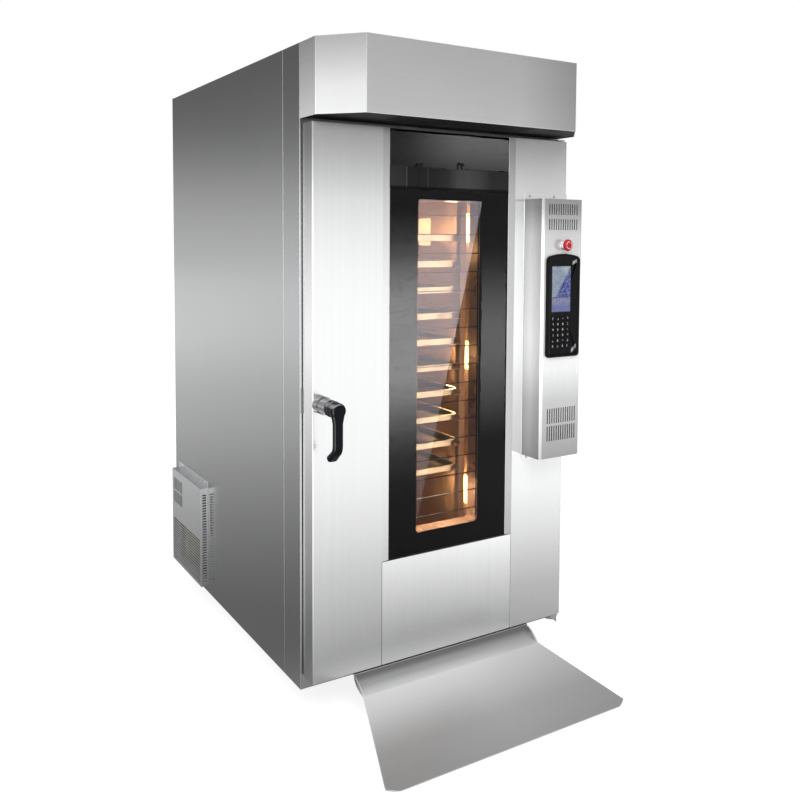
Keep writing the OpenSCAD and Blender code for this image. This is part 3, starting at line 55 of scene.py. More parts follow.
EYE = (-1.58662, -2.88249, 1.51594)     # where the camera stands


# ------------------------------------------------------------------ shader maths

class Val:
    """A shader socket as a number; an expression on it puts the matching Math nodes in the tree."""

    def __init__(self, finish, socket):
        self.finish = finish
        self.socket = socket

    def math(self, operation, *values):
        sockets = dict(enumerate(values))
        return self.finish.node("Math", {"operation": operation}, sockets)

    def __add__(self, other):
        return self.math("ADD", self, other)

    __radd__ = __add__

    def __sub__(self, other):
        return self.math("SUBTRACT", self, other)

    def __rsub__(self, other):
        return self.math("SUBTRACT", other, self)

    def __mul__(self, other):
        return self.math("MULTIPLY", self, other)

    __rmul__ = __mul__

    def __truediv__(self, other):
        return self.math("DIVIDE", self, other)

    def __rtruediv__(self, other):
        return self.math("DIVIDE", other, self)

    def __neg__(self):
        return self.math("MULTIPLY", self, -1.0)

    def __pow__(self, other):
        return self.math("POWER", self, other)

    def __abs__(self):
        return self.math("ABSOLUTE", self)

    def __mod__(self, other):
        return self.math("FLOORED_MODULO", self, other)

    def above(self, edge):
        """1 where the value is over the edge, and 0 elsewhere."""
        return self.math("GREATER_THAN", self, edge)

    def least(self, other):
        return self.math("MINIMUM", self, other)

    def most(self, other):
        return self.math("MAXIMUM", self, other)

    def ramp(self, low, high, start=0.0, end=1.0):
        """A smooth step from start to end while the value goes from low to high."""
        sockets = {"Value": self, "From Min": low, "From Max": high, "To Min": start, "To Max": end}
        return self.finish.node("MapRange", {"interpolation_type": "SMOOTHSTEP"}, sockets)


class Finish:
    """One node tree, of a material or of the world, that is written as expressions."""

    def __init__(self, owner):
        owner.use_nodes = True
        self.owner = owner
        self.tree = owner.node_tree
        self.tree.nodes.clear()

    def node(self, kind, settings=None, sockets=None, out=0):
        """Adds a node: its settings first, then the values or links of its sockets; returns one output."""
        added = self.tree.nodes.new("ShaderNode" + kind)
        for key, value in (settings or {}).items():
            if key == "stops":
                self.set_stops(added.color_ramp, value)
            else:
                setattr(added, key, value)
        for key, value in (sockets or {}).items():
            self.feed(added.inputs[key], value)
        return Val(self, added.outputs[out]) if added.outputs else None

    def feed(self, socket, value):
        if isinstance(value, Val):
            self.tree.links.new(value.socket, socket)
        elif isinstance(value, tuple) and len(value) == 3 and socket.type == "RGBA":
            socket.default_value = (*value, 1.0)
        else:
            socket.default_value = value

    @staticmethod
    def set_stops(ramp, stops):
        while len(ramp.elements) < len(stops):
            ramp.elements.new(1.0)
        for element, (place, colour) in zip(ramp.elements, stops):
            element.position = place
            element.color = (*colour, 1.0)

    def place(self):
        """The point on the piece, in metres."""
        return self.node("TexCoord", out="Object")

    def parts(self, vector):
        """The three numbers of a vector."""
        split = self.node("SeparateXYZ", sockets={0: vector})
        return [Val(self, split.socket.node.outputs[i]) for i in range(3)]

    def scaled(self, vector, scale, turn=(0, 0, 0)):
        return self.node("Mapping", {}, {"Vector": vector, "Scale": scale, "Rotation": turn})

    def noise(self, vector, scale, detail=3.0, rough=0.55, distort=0.0):
        return self.node("TexNoise", {}, {"Vector": vector, "Scale": scale, "Detail": detail,
                                          "Roughness": rough, "Distortion": distort})

    def blend(self, factor, first, second):
        """A colour between two colours."""
        sockets = {0: factor, 6: first, 7: second}
        return self.node("Mix", {"data_type": "RGBA"}, sockets, out=2)

    def shaded(self, colour, value, low, high, stops):
        """A colour made darker or lighter along a value: stops are (place, factor) between low and high."""
        span = (value - low) / (high - low)
        grey = [(place, (factor, factor, factor)) for place, factor in stops]
        factor = self.node("ValToRGB", {"stops": grey}, {0: span})
        return self.node("Mix", {"data_type": "RGBA", "blend_type": "MULTIPLY"},
                         {0: 1.0, 6: colour, 7: factor}, out=2)

    def bump(self, height, strength, distance, normal=None):
        sockets = {"Height": height, "Strength": strength, "Distance": distance}
        if normal:
            sockets["Normal"] = normal
        return self.node("Bump", {}, sockets)

    def shader(self, kind, **sockets):
        named = {key.replace("_", " "): value for key, value in sockets.items()}
        return self.node(kind, {}, named)

    def mixed(self, factor, first, second):
        return self.node("MixShader", {}, {0: factor, 1: first, 2: second})

    def rays(self, *names):
        """The Light Path outputs of these names."""
        first = self.node("LightPath")
        return [Val(self, first.socket.node.outputs[name]) for name in names]

    def tones(self, value, stops):
        """A brightness read from stops of (place, brightness) along a value."""
        grey = [(place, (level, level, level)) for place, level in stops]
        return self.node("ValToRGB", {"stops": grey}, {0: value})

    def surface(self, shader):
        """Ends the tree with this shader, and returns the material or the world."""
        kind = "OutputWorld" if isinstance(self.owner, bpy.types.World) else "OutputMaterial"
        self.node(kind, {}, {"Surface": shader})
        return self.owner

    def principled(self, colour, rough, normal, **sockets):
        """Ends the tree with a Principled shader, and returns the material."""
        return self.surface(self.shader("BsdfPrincipled", Base_Color=colour, Roughness=rough,
                                        Normal=normal, **sockets))


def finish_named(name):
    """A new finish of this name, and the point on the piece that wears it."""
    f = Finish(bpy.data.materials.new(name))
    return f, f.place()


def times(colour, factor, more=0.0):
    """A colour made lighter or darker, up to white."""
    return tuple(min(1.0, c * factor + more) for c in colour)


# ------------------------------------------------------------------ finishes

def brushed_steel(name, tint, rough=0.2, along="z", shades=(), edge=0.0022, metal=1.0,
                  hollow=None):
    """Stainless sheet: hair-fine grain along one axis, faint longer streaks, soft wiped clouds and a
    painted highlight along its edges. Each of shades is (axis number, low, high, stops):
    painted light and shade, how much lighter or darker the sheet is painted between two places
    along that axis; another axis number and two places after them keep it between those places.
    hollow is the (low, high) corners of a box whose inside is painted black, as painted shade."""
    f, at = finish_named(name)
    thin = {"x": (5, 620, 620), "y": (620, 5, 620), "z": (620, 620, 5)}[along]
    broad = tuple(n * 0.16 for n in thin)
    hair = f.noise(f.scaled(at, thin), 1.0, 4.0, 0.6)
    streak = f.noise(f.scaled(at, broad), 1.0, 2.0, 0.5)
    cloud = f.noise(at, 2.1, 4.0, 0.6, 0.6)
    tone = 0.5 + (hair - 0.5) * 0.45 + (streak - 0.5) * 0.25 + (cloud - 0.5) * 0.3
    colour = f.blend(tone, times(tint, 0.9), times(tint, 1.08))
    # painted light and shade: the colour is made lighter or darker along each listed axis
    for axis, low, high, stops, *only in shades:
        toned = f.shaded(colour, f.parts(at)[axis], low, high, stops)
        if only:
            place = f.parts(at)[only[0]]
            toned = f.blend(place.above(only[1]) * (1.0 - place.above(only[2])), colour, toned)
        colour = toned
    # painted shade: inside the hollow the sheet is not metallic
    if hollow:
        spots = [place.above(a) * (1.0 - place.above(b)) for place, a, b in zip(f.parts(at), *hollow)]
        within = spots[0] * spots[1] * spots[2]
        metal = metal * (1.0 - within)
    roughness = rough + (hair - 0.5) * 0.1 + (cloud - 0.5) * 0.09
    rounded = f.node("Bevel", {"samples": 4}, {"Radius": edge})
    facing = f.node("VectorMath", {"operation": "DOT_PRODUCT"},
                    {0: rounded, 1: f.node("NewGeometry", out="True Normal")}, out="Value")
    # painted highlight: the colour goes pale where the rounded edge turns away from the face
    colour = f.blend(facing.ramp(0.999, 0.93), colour, (0.93, 0.93, 0.94))
    # painted shade: the inside of the hollow is made black
    if hollow:
        colour = f.blend(within, colour, (0.004, 0.004, 0.004))
    normal = f.bump(hair, 0.055, 0.0005, rounded)
    return f.principled(colour, roughness, normal, Metallic=metal)


def oven_steel(name, warm=(0.58, 0.43, 0.33), cool=(0.46, 0.32, 0.25), soft=0.34):
    """Chamber sheet: stainless with straw-coloured heat tint and a baked haze."""
    f, at = finish_named(name)
    hair = f.noise(f.scaled(at, (380, 380, 6)), 1.0, 3.0)
    haze = f.noise(at, 5.0, 5.0, 0.62, 0.8)
    tint = f.blend(haze.ramp(0.35, 0.7), cool, warm)
    colour = f.blend(hair * 0.5, tint, (0.3, 0.2, 0.16))
    normal = f.bump(hair, 0.08, 0.0005)
    return f.principled(colour, soft + haze * 0.16, normal, Metallic=0.66 - haze * 0.3)


def tray_aluminium(name):
    """Used baking tray: dull silver with brown baked patches, and scratches every way."""
    f, at = finish_named(name)
    scratch = f.noise(f.scaled(at, (26, 520, 40), (0, 0, 0.5)), 1.0, 4.0, 0.7)
    baked = f.noise(at, 9.0, 6.0, 0.68, 1.2).ramp(0.5, 0.72)
    metal = f.blend(scratch, (0.5, 0.49, 0.46), (0.78, 0.77, 0.73))
    colour = f.blend(baked * 0.45, metal, (0.33, 0.21, 0.11))
    return f.principled(colour, 0.3 + scratch * 0.12 + baked * 0.2, f.bump(scratch, 0.12, 0.0004),
                        Metallic=1.0 - baked * 0.3)


def zinc_plate(name, tint=(0.62, 0.64, 0.66)):
    """Zinc plated steel: small crystal flowers in two greys under a satin shine."""
    f, at = finish_named(name)
    flower = f.node("TexVoronoi", {"feature": "F1"}, {"Vector": at, "Scale": 140.0}, out="Color")
    shade = f.parts(flower)[0]
    dull = f.noise(at, 18.0, 4.0)
    colour = f.blend(shade * 0.7 + dull * 0.3, times(tint, 0.78), tint)
    return f.principled(colour, 0.3 + dull * 0.18, f.bump(shade, 0.05, 0.0004), Metallic=1.0)


def sprayed_paint(name, tint, rough=0.42, peel=0.12, worn=(0.3, 0.3, 0.3)):
    """Sprayed enamel or powder coat: orange-peel surface, dust in its low places, rubbed tone."""
    f, at = finish_named(name)
    skin = f.noise(at, 420.0, 2.0, 0.4)
    dust = f.noise(at, 14.0, 5.0, 0.65).ramp(0.48, 0.8)
    colour = f.blend(dust * 0.22, tint, worn)
    return f.principled(colour, rough + dust * 0.2, f.bump(skin, peel, 0.0008), Metallic=0.0)


def cast_iron(name):
    """Sand-cast iron: pitted, dark, with rust along the damp patches."""
    f, at = finish_named(name)
    pits = f.noise(at, 160.0, 5.0, 0.7)
    rust = f.noise(at, 24.0, 5.0, 0.7).ramp(0.48, 0.66)
    colour = f.blend(rust * 0.6, (0.075, 0.068, 0.062), (0.23, 0.1, 0.045))
    return f.principled(colour, 0.62 + rust * 0.25, f.bump(pits, 0.5, 0.0015), Metallic=0.55 - rust * 0.4)


def oxide_steel(name, tint=(0.09, 0.088, 0.09), wear_and_highlight=(0.26, 0.25, 0.25)):
    """Hot-worked steel with blue-black oxide and paler rubbed places."""
    f, at = finish_named(name)
    scale = f.noise(at, 40.0, 5.0, 0.6)
    hair = f.noise(f.scaled(at, (260, 260, 18)), 1.0, 3.0)
    colour = f.blend(scale * 0.6 + hair * 0.3, tint, wear_and_highlight)
    return f.principled(colour, 0.36 + scale * 0.2, f.bump(hair, 0.12, 0.0005), Metallic=0.85)


def mineral_wool(name):
    """Pressed wool slab: short crossing fibres in yellow and olive, soft and matt."""
    f, at = finish_named(name)
    warp = f.noise(f.scaled(at, (60, 700, 300), (0.3, 0.2, 0.7)), 1.0, 4.0, 0.7)
    weft = f.noise(f.scaled(at, (500, 70, 640), (0.9, 0.1, 0.2)), 1.0, 4.0, 0.7)
    fibre = warp.most(weft)
    colour = f.blend(fibre.ramp(0.45, 0.8), (0.3, 0.25, 0.12), (0.68, 0.6, 0.36))
    return f.principled(colour, 0.95, f.bump(fibre, 0.7, 0.0025))


def moulded_plastic(name, tint, rough=0.36, grain=0.16, shine=0.25):
    """Moulded heat-proof plastic: fine spark-eroded grain, slightly polished by use."""
    f, at = finish_named(name)
    spark = f.noise(at, 900.0, 2.0, 0.5)
    handled = f.noise(at, 22.0, 4.0, 0.6)
    colour = f.blend(handled, times(tint, 0.8), times(tint, 1.25, 0.002))
    return f.principled(colour, rough + (handled - 0.5) * 0.14, f.bump(spark, grain, 0.0003), Metallic=0.0,
                        Specular_IOR_Level=shine)


def highlit_plastic(name, tint):
    """Black moulding with a painted highlight: a grey streak along its upper left and its left side."""
    f, at = finish_named(name)
    spark = f.noise(at, 900.0, 2.0, 0.5)
    handled = f.noise(at, 30.0, 4.0, 0.6)
    across, _, up = f.parts(f.node("NewGeometry", out="Normal"))
    # painted highlight: grey where the surface faces up and to the left, and along its left side
    top = (1.0 - abs(up - 0.6).ramp(0.06, 0.34)) * 0.8
    side = (1.0 - abs(across + 0.62).ramp(0.08, 0.3)) * (1.0 - abs(up).ramp(0.1, 0.4)) * 0.3
    wear_and_highlight = top * (1.0 - across.ramp(-0.2, 0.5)) + side
    colour = f.blend(wear_and_highlight * (0.7 + handled * 0.5), tint, (0.3, 0.3, 0.31))
    return f.principled(colour, 0.3 + (handled - 0.5) * 0.14, f.bump(spark, 0.05, 0.0003),
                        Specular_IOR_Level=0.08)


def polished_metal(name, tint, rough=0.09, banded=False):
    """Turned and polished metal with fine lathe lines and a few dull fingerprints. A banded one has
    painted reflection bands by the way its surface faces: darker in a stripe along its middle and on its
    top."""
    f, at = finish_named(name)
    turned = f.noise(f.scaled(at, (90, 1500, 90)), 1.0, 2.0)
    touched = f.noise(at, 60.0, 3.0, 0.6).ramp(0.5, 0.8)
    colour = f.blend(turned * 0.5 + touched * 0.3, tint, times(tint, 0.82))
    # painted reflection bands, read from the way the surface faces
    if banded:
        up = f.parts(f.node("NewGeometry", out="Normal"))[2]
        colour = f.shaded(colour, up, -1.0, 1.0, [(0.0, 0.5), (0.22, 1.0), (0.34, 1.0), (0.46, 0.3),
                                                  (0.56, 0.35), (0.72, 1.0), (0.86, 1.0), (1.0, 0.7)])
    return f.principled(colour, rough + touched * 0.16, f.bump(turned, 0.04, 0.0003), Metallic=1.0)


def stop_red(name, tint, middle):
    """Red moulding of the stop button: a printed pale ring with three gaps round a darker dish."""
    f, at = finish_named(name)
    x, _, z = f.parts(at)
    dx, dz = x - middle[0], z - middle[1]
    radius = (dx * dx + dz * dz) ** 0.5
    angle = f.node("Math", {"operation": "ARCTAN2"}, {0: dz, 1: dx})
    gap = ((angle + math.pi) % (2 * math.pi / 3)).ramp(0.32, 0.36)
    ring = radius.ramp(0.0095, 0.0101) * (1.0 - radius.ramp(0.0132, 0.0138)) * gap
    grain = f.noise(at, 500.0, 3.0, 0.5)
    dish = f.blend(radius.ramp(0.004, 0.017), times(tint, 0.75), tint)
    colour = f.blend(ring, f.blend(grain * 0.3, dish, times(tint, 0.8)), (0.82, 0.34, 0.34))
    return f.principled(colour, 0.3 + grain * 0.1, f.bump(grain, 0.05, 0.0002), Specular_IOR_Level=0.4)


def frame_gloss(name, tint, glints):
    """Gloss black frame of the controller, with a painted grey highlight on a corner facet at each of
    glints, which are (x, z, half width, half height, slope)."""
    f, at = finish_named(name)
    x, _, z = f.parts(at)
    wipe = f.noise(f.scaled(at, (60, 60, 16), (0, 0.6, 0)), 1.0, 4.0, 0.6)
    # painted highlights: a grey spot on each glint's corner facet
    wear_and_highlight = 0.0
    for gx, gz, wide, tall, slope in glints:
        dz = (z - gz - (x - gx) * slope) / tall
        spot = 1.0 - (abs((x - gx) / wide)).most(abs(dz)).ramp(0.75, 1.1)
        wear_and_highlight = spot + wear_and_highlight
    colour = f.blend(wear_and_highlight * (0.75 + wipe * 0.4), f.blend(wipe, times(tint, 0.5), tint),
                     (0.34, 0.35, 0.36))
    return f.principled(colour, 0.22 + wipe * 0.1, f.bump(wipe, 0.02, 0.0006), Specular_IOR_Level=0.08)


def display_face(name, low, high):
    """Backlit display: violet-grey picture with fine speckle, a paler slanted painted reflection, and a
    lower band of small blocks under a dark line. low and high are the corners of the display."""
    f, at = finish_named(name)
    x, _, z = f.parts(at)
    u = (x - low.x) / (high.x - low.x)
    v = (z - low.z) / (high.z - low.z)
    speck = f.node("TexVoronoi", {"feature": "F1"}, {"Vector": at, "Scale": 300.0}, out="Color")
    grit = f.parts(speck)[0]
    cloud = f.noise(at, 34.0, 4.0, 0.6)
    deep = f.blend(grit.ramp(0.35, 1.0), (0.02, 0.03, 0.14), (0.15, 0.18, 0.4))
    pale = f.blend(grit * 0.8 + cloud * 0.2, (0.11, 0.135, 0.19), (0.3, 0.35, 0.4))
    # painted reflection: a paler slanted wedge, blended into the picture
    painted_glare = 1.0 - (u - 0.3 - (v - 0.42) * 1.15).ramp(0.0, 0.06)
    green = (1.0 - abs(u - 0.75).ramp(0.0, 0.35)) * v.ramp(0.7, 0.95)
    picture = f.blend(painted_glare * 0.9, deep, pale)
    picture = f.blend(green * 0.4, picture, (0.4, 0.5, 0.45))
    cell = f.node("TexBrick", {}, {"Vector": f.scaled(at, (60, 60, 60), (math.pi / 2, 0, 0)),
                                   "Color1": (0.02, 0.035, 0.16), "Color2": (0.2, 0.23, 0.4),
                                   "Mortar": (0.1, 0.1, 0.25), "Scale": 5.0, "Mortar Size": 0.03})
    band = f.blend(v.ramp(0.1, 0.24), cell, f.blend(grit * 0.8, (0.09, 0.1, 0.2), (0.26, 0.26, 0.36)))
    colour = f.blend(v.above(0.32), band, picture)
    line = 1.0 - abs(v - 0.32).ramp(0.004, 0.012)
    edge = (abs(u - 0.5).ramp(0.465, 0.5)).most(abs(v - 0.5).ramp(0.482, 0.5))
    colour = f.blend((line * 0.8).most(edge), colour, (0.03, 0.03, 0.07))
    return f.principled(colour, 0.16, f.bump(cloud, 0.01, 0.0004), Specular_IOR_Level=0.3,
                        Emission_Color=colour, Emission_Strength=0.1)


def clamp_black(name):
    """Black enamelled clamp bar with a painted reflection along it, palest in its middle-right, with a
    paler left end, two fine seams beside its blocks, and painted shade on its upper and lower edges."""
    f, at = finish_named(name)
    x, _, z = f.parts(at)
    skin = f.noise(at, 300.0, 3.0, 0.5)
    # painted reflection: the bar's brightness along its length
    worn = f.tones((x + 0.24) / 0.5, [
        (0.0, 0.028), (0.17, 0.022), (0.19, 0.012), (0.4, 0.014), (0.5, 0.022), (0.58, 0.05),
        (0.66, 0.055), (0.76, 0.042), (0.85, 0.02), (1.0, 0.02)])
    seam = (1.0 - abs(x + 0.148).ramp(0.0012, 0.0022)) + (1.0 - abs(x + 0.0684).ramp(0.001, 0.002)) * 0.5
    # painted shade: darker bands along the upper and lower edges
    edges = z.ramp(1.673, 1.679) * (1.0 - z.ramp(1.748, 1.753))
    grey = (worn * (0.9 + skin * 0.2) + seam * 0.05) * (0.15 + edges * 0.85)
    colour = f.blend(grey, (0.0, 0.0, 0.0), (1.0, 1.0, 1.0))
    return f.principled(colour, 0.5 + skin * 0.1, f.bump(skin, 0.05, 0.0004), Specular_IOR_Level=0.1)


def silicone_seal(name):
    """Extruded dark silicone: satin, with fine lines of the die and a little flour dust."""
    f, at = finish_named(name)
    lines = f.noise(f.scaled(at, (520, 520, 30)), 1.0, 2.0)
    flour = f.noise(at, 30.0, 5.0, 0.7).ramp(0.55, 0.8)
    colour = f.blend(flour * 0.25, (0.03, 0.03, 0.032), (0.3, 0.28, 0.25))
    return f.principled(colour, 0.55 + flour * 0.2, f.bump(lines, 0.15, 0.0006))


def pane_glass(name, seen_through, mirror=0.24):
    """Flat pane: what is behind it shows through its tint, and the edge-on view mirrors more."""
    f, at = finish_named(name)
    wave = f.noise(at, 3.0, 2.0, 0.4)
    smear = f.noise(f.scaled(at, (3, 3, 14), (0, 0.5, 0)), 1.0, 4.0, 0.6).ramp(0.4, 0.9)
    clear = f.shader("BsdfTransparent", Color=seen_through)
    gloss = f.shader("BsdfPrincipled", Base_Color=(0.9, 0.92, 0.95), Metallic=1.0,
                     Roughness=0.02 + smear * 0.02, Normal=f.bump(wave, 0.004, 0.01))
    outside = 1.0 - f.node("NewGeometry", out="Backfacing")
    bounce = f.node("Fresnel", {}, {"IOR": 1.5}) * outside * mirror * (1.0 + smear * 0.15)
    return f.surface(f.mixed(bounce, clear, gloss))


def fired_border(name, tint):
    """Black enamel fired on the back of the pane: finely speckled, a touch greyer where it is thin."""
    f, at = finish_named(name)
    pin = f.noise(at, 260.0, 3.0, 0.5)
    thin = f.noise(at, 2.2, 3.0, 0.5).ramp(0.4, 0.75)
    colour = f.blend(thin * 0.5 + pin * 0.06, tint, times(tint, 2.0, 0.004))
    return f.principled(colour, 0.6 + pin * 0.2, f.bump(thin, 0.01, 0.0003), Specular_IOR_Level=0.1)


def lamp_cover(name):
    """Frosted lamp cover that glows amber, paler in flecks of its frost."""
    f, at = finish_named(name)
    frost = f.noise(at, 130.0, 3.0)
    glow = f.blend(frost, (1.0, 0.72, 0.32), (1.0, 0.9, 0.6))
    return f.principled((0.9, 0.75, 0.5), 0.45, f.bump(frost, 0.3, 0.0008), Emission_Color=glow,
                        Emission_Strength=1.5)


# ------------------------------------------------------------------ forms

class Form:
    """Points, quads and triangles of closed surfaces; forms add up to one piece."""

    def __init__(self, points, quads, tris=()):
        self.points = np.asarray(points, float).reshape(-1, 3)
        self.quads = quads
        self.tris = np.asarray(tris, int).reshape(-1, 3)

    def __add__(self, other):
        n = len(self.points)
        return Form(np.vstack([self.points, other.points]),
                    np.vstack([self.quads, other.quads + n]),
                    np.vstack([self.tris, other.tris + n]))


def grid_form(points):
    """Quads between neighbours of a u by v grid of points. u is joined round, and the first and
    last rows along v are each closed by a fan to their middle."""
    grid = np.asarray(points, float)
    nu, nv = grid.shape[:2]
    index = np.arange(nu * nv).reshape(nu, nv)
    ring = np.arange(nu)
    after = (ring + 1) % nu
    quads = np.stack([index[:, :-1], index[after, :-1], index[after, 1:], index[:, 1:]], -1)
    flat = np.vstack([grid.reshape(-1, 3), grid[:, 0].mean(0), grid[:, -1].mean(0)])
    low = np.stack([index[after, 0], index[ring, 0], np.full(nu, nu * nv)], -1)
    high = np.stack([index[ring, -1], index[after, -1], np.full(nu, nu * nv + 1)], -1)
    return Form(flat, quads.reshape(-1, 4), np.vstack([low, high]))


def turned(centre, profile):
    """A profile of (depth, radius) pairs, turned once round an axis along Y through centre:
    point = centre + (radius * cos a, depth, -radius * sin a)."""
    angle = np.linspace(0, 2 * np.pi, 72, endpoint=False)[:, None]
    depth, radius = np.asarray(profile, float).T
    points = np.stack([radius * np.cos(angle), depth + 0.0 * angle, -radius * np.sin(angle)], -1)
    return grid_form(np.asarray(centre) + points)


def rounded_loop(width, height, radius, count):
    """Outline of a rectangle with round corners as count points (x, z), evenly spaced along it.
    A corner is its centre + radius * (cos a, sin a)."""
    step = np.linspace(0, np.pi / 2, count // 8)
    loops = []
    for turn, (sx, sz) in enumerate([(1, 1), (-1, 1), (-1, -1), (1, -1)]):
        a = step + turn * np.pi / 2
        centre = (sx * (width / 2 - radius), sz * (height / 2 - radius))
        loops.append(np.stack([np.cos(a), np.sin(a)], -1) * radius + centre)
    loop = np.vstack(loops + [loops[0][:1]])
    run = np.concatenate([[0.0], np.cumsum(np.hypot(*np.diff(loop, axis=0).T))])
    even = np.linspace(0.0, run[-1], count, endpoint=False)
    return np.column_stack([np.interp(even, run, loop[:, 0]), np.interp(even, run, loop[:, 1])])


def bent_grip(axis, front):
    """The lever's arm: superellipse sections |x/a|^p + |n/b|^p = 1 swept along a path in the plane
    x = axis x. The path runs down from the hub for 100 mm, turns 52 degrees towards the door over
    the next 30 mm, and its end is closed by shrinking sections, like a rounded thumb rest."""
    s = np.linspace(0.004, 0.169, 96)
    turn = np.radians(52.0) * np.clip((s - 0.1) / 0.03, 0, 1) ** 1.3
    step = np.gradient(s)
    y = front + 0.0125 + np.cumsum(np.sin(turn) * step)
    z = axis[1] - 0.004 - np.cumsum(np.cos(turn) * step)
    flare = np.clip((s - 0.004) / 0.038, 0, 1)
    flare = flare * flare * (3 - 2 * flare)
    tip = np.clip((s - 0.135) / 0.025, 0, 1)
    half_x = 0.0205 - 0.0055 * flare + 0.001 * tip
    half_n = 0.0112 - 0.0014 * flare + 0.001 * tip
    end = np.sqrt(np.clip(1.0 - (np.clip((s - 0.1635) / 0.0055, 0, 1)) ** 2, 0.0008, 1.0))
    angle = np.linspace(0, 2 * np.pi, 56, endpoint=False)[:, None]
    c, d = np.cos(angle), np.sin(angle)
    across = np.sign(c) * np.abs(c) ** (2 / 3.4) * half_x * end
    depth = np.sign(d) * np.abs(d) ** (2 / 3.4) * half_n * end
    points = np.stack([axis[0] + across, y + depth * np.cos(turn), z + depth * np.sin(turn)], -1)
    return grid_form(points)


def crowned_frame(low, high, top, rows):
    """The controller's frame: an outline with round corners whose upper edge is crowned by
    top * (1 - (x / half width)^2). Each row is (y, inset, rim), where the outline is drawn in by
    inset and, on the right-hand side, by rim times more. The middle is closed flat."""
    width, height = high[0] - low[0], high[1] - low[1] - top
    loop = rounded_loop(width, height, 0.013, 240)
    after, before = np.roll(loop, -1, 0), np.roll(loop, 1, 0)
    along = after - before
    outward = np.stack([along[:, 1], -along[:, 0]], -1)
    outward /= np.linalg.norm(outward, axis=1)[:, None]
    side = np.clip((loop[:, 0] / (width / 2) - 0.55) / 0.4, 0, 1)
    layers = []
    for y, inset, rim in rows:
        drawn = loop - outward * (inset * (1.0 + rim * side))[:, None]
        crown = top * (1.0 - (2 * drawn[:, 0] / width) ** 2) * (drawn[:, 1] > 0) \
            * np.clip(drawn[:, 1] / (height * 0.3), 0, 1)
        layers.append(np.column_stack([drawn[:, 0], np.full(len(loop), y), drawn[:, 1] + crown]))
    middle = np.array([(low[0] + high[0]) / 2, 0.0, low[1] + height / 2])
    return grid_form(np.stack(layers, 1) + middle)


def bars(starts, ends, half, y_low, y_high):
    """Flat bars between pairs of (x, z) points: four corners beside each line, on two planes."""
    starts, ends = np.asarray(starts, float), np.asarray(ends, float)
    run = ends - starts
    run = run / np.linalg.norm(run, axis=1)[:, None]
    beside = np.stack([-run[:, 1], run[:, 0]], -1) * half
    ahead = run * half
    ring = np.stack([starts - ahead + beside, starts - ahead - beside,
                     ends + ahead - beside, ends + ahead + beside], 1)
    n = len(ring)
    front = np.dstack([ring[..., 0], np.full((n, 4), y_low), ring[..., 1]])
    back = np.dstack([ring[..., 0], np.full((n, 4), y_high), ring[..., 1]])
    points = np.concatenate([front, back], 1).reshape(-1, 3)
    cube = np.array([(0, 1, 2, 3), (7, 6, 5, 4), (0, 4, 5, 1), (1, 5, 6, 2), (2, 6, 7, 3), (3, 7, 4, 0)])
    return Form(points, (cube[None] + 8 * np.arange(n)[:, None, None]).reshape(-1, 4))


# strokes of a figure on a 2 by 4 grid, as in a pocket calculator
STROKES = {"a": (0, 4, 2, 4), "b": (2, 4, 2, 2), "c": (2, 2, 2, 0), "d": (0, 0, 2, 0), "e": (0, 0, 0, 2),
           "f": (0, 2, 0, 4), "g": (0, 2, 2, 2)}
FIGURES = ["abcdef", "bc", "abged", "abgcd", "fgbc", "afgcd", "afgedc", "abc", "abcdefg", "abcdfg"]


def key_marks(columns, rows, y, size):
    """Pale figures 0 to 9 and plain strokes on the keys, one mark to each key."""
    plan = [["afe", "cd", "g", "ag"], [7, 8, 9, "ad"], [4, 5, 6, "g"], [1, 2, 3, "bg"],
            ["de", 0, "g", "bcd"], ["abcdef", "gd", "agd", "ef"]]
    starts, ends = [], []
    for z, row in zip(rows, plan):
        for x, mark in zip(columns, row):
            for stroke in (FIGURES[mark] if isinstance(mark, int) else mark):
                x0, z0, x1, z1 = STROKES[stroke]
                starts.append((x + (x0 - 1) * size, z + (z0 - 2) * size))
                ends.append((x + (x1 - 1) * size, z + (z1 - 2) * size))
    return bars(starts, ends, size * 0.3, y - 0.00035, y + 0.0002)


def put(name, form, finish, body, stands_for=(), smooth=0.7):
    """Makes a mesh object of a form, turns its faces outwards, and hands it to the frame."""
    mesh = bpy.data.meshes.new(name)
    faces = form.quads.tolist() + form.tris.tolist()
    mesh.from_pydata(form.points.tolist(), [], faces)
    work = bmesh.new()
    work.from_mesh(mesh)
    bmesh.ops.remove_doubles(work, verts=work.verts, dist=1e-6)
    bmesh.ops.recalc_face_normals(work, faces=work.faces)
    work.to_mesh(mesh)
    work.free()
    mesh.shade_smooth()
    mesh.set_sharp_from_angle(angle=smooth)
    mesh.materials.append(finish)
    piece = bpy.data.objects.new(name, mesh)
    bpy.context.scene.collection.objects.link(piece)
    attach(piece, body)
    if stands_for:
        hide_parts(*stands_for)


def dress(node, kind, *values, **options):
    """Gives a CAD node a finish of this kind, which is named after it."""
    mesh = NODES[node].data
    mesh.materials.clear()
    mesh.materials.append(kind(node.replace("_", " ").capitalize(), *values, **options))


# ------------------------------------------------------------------ settings

def colour_prop(name, text, value):
    return bpy.props.FloatVectorProperty(name=name, description=text, default=value,
                                         subtype="COLOR", size=3, min=0.0, max=1.0)


def amount_prop(name, text, value, most=1.0):
    return bpy.props.FloatProperty(name=name, description=text, default=value, min=0.0, max=most)


def power_prop(name, text, value, most):
    return bpy.props.FloatProperty(name=name, description=text, default=value,
                                   min=0.0, max=most, unit="POWER")


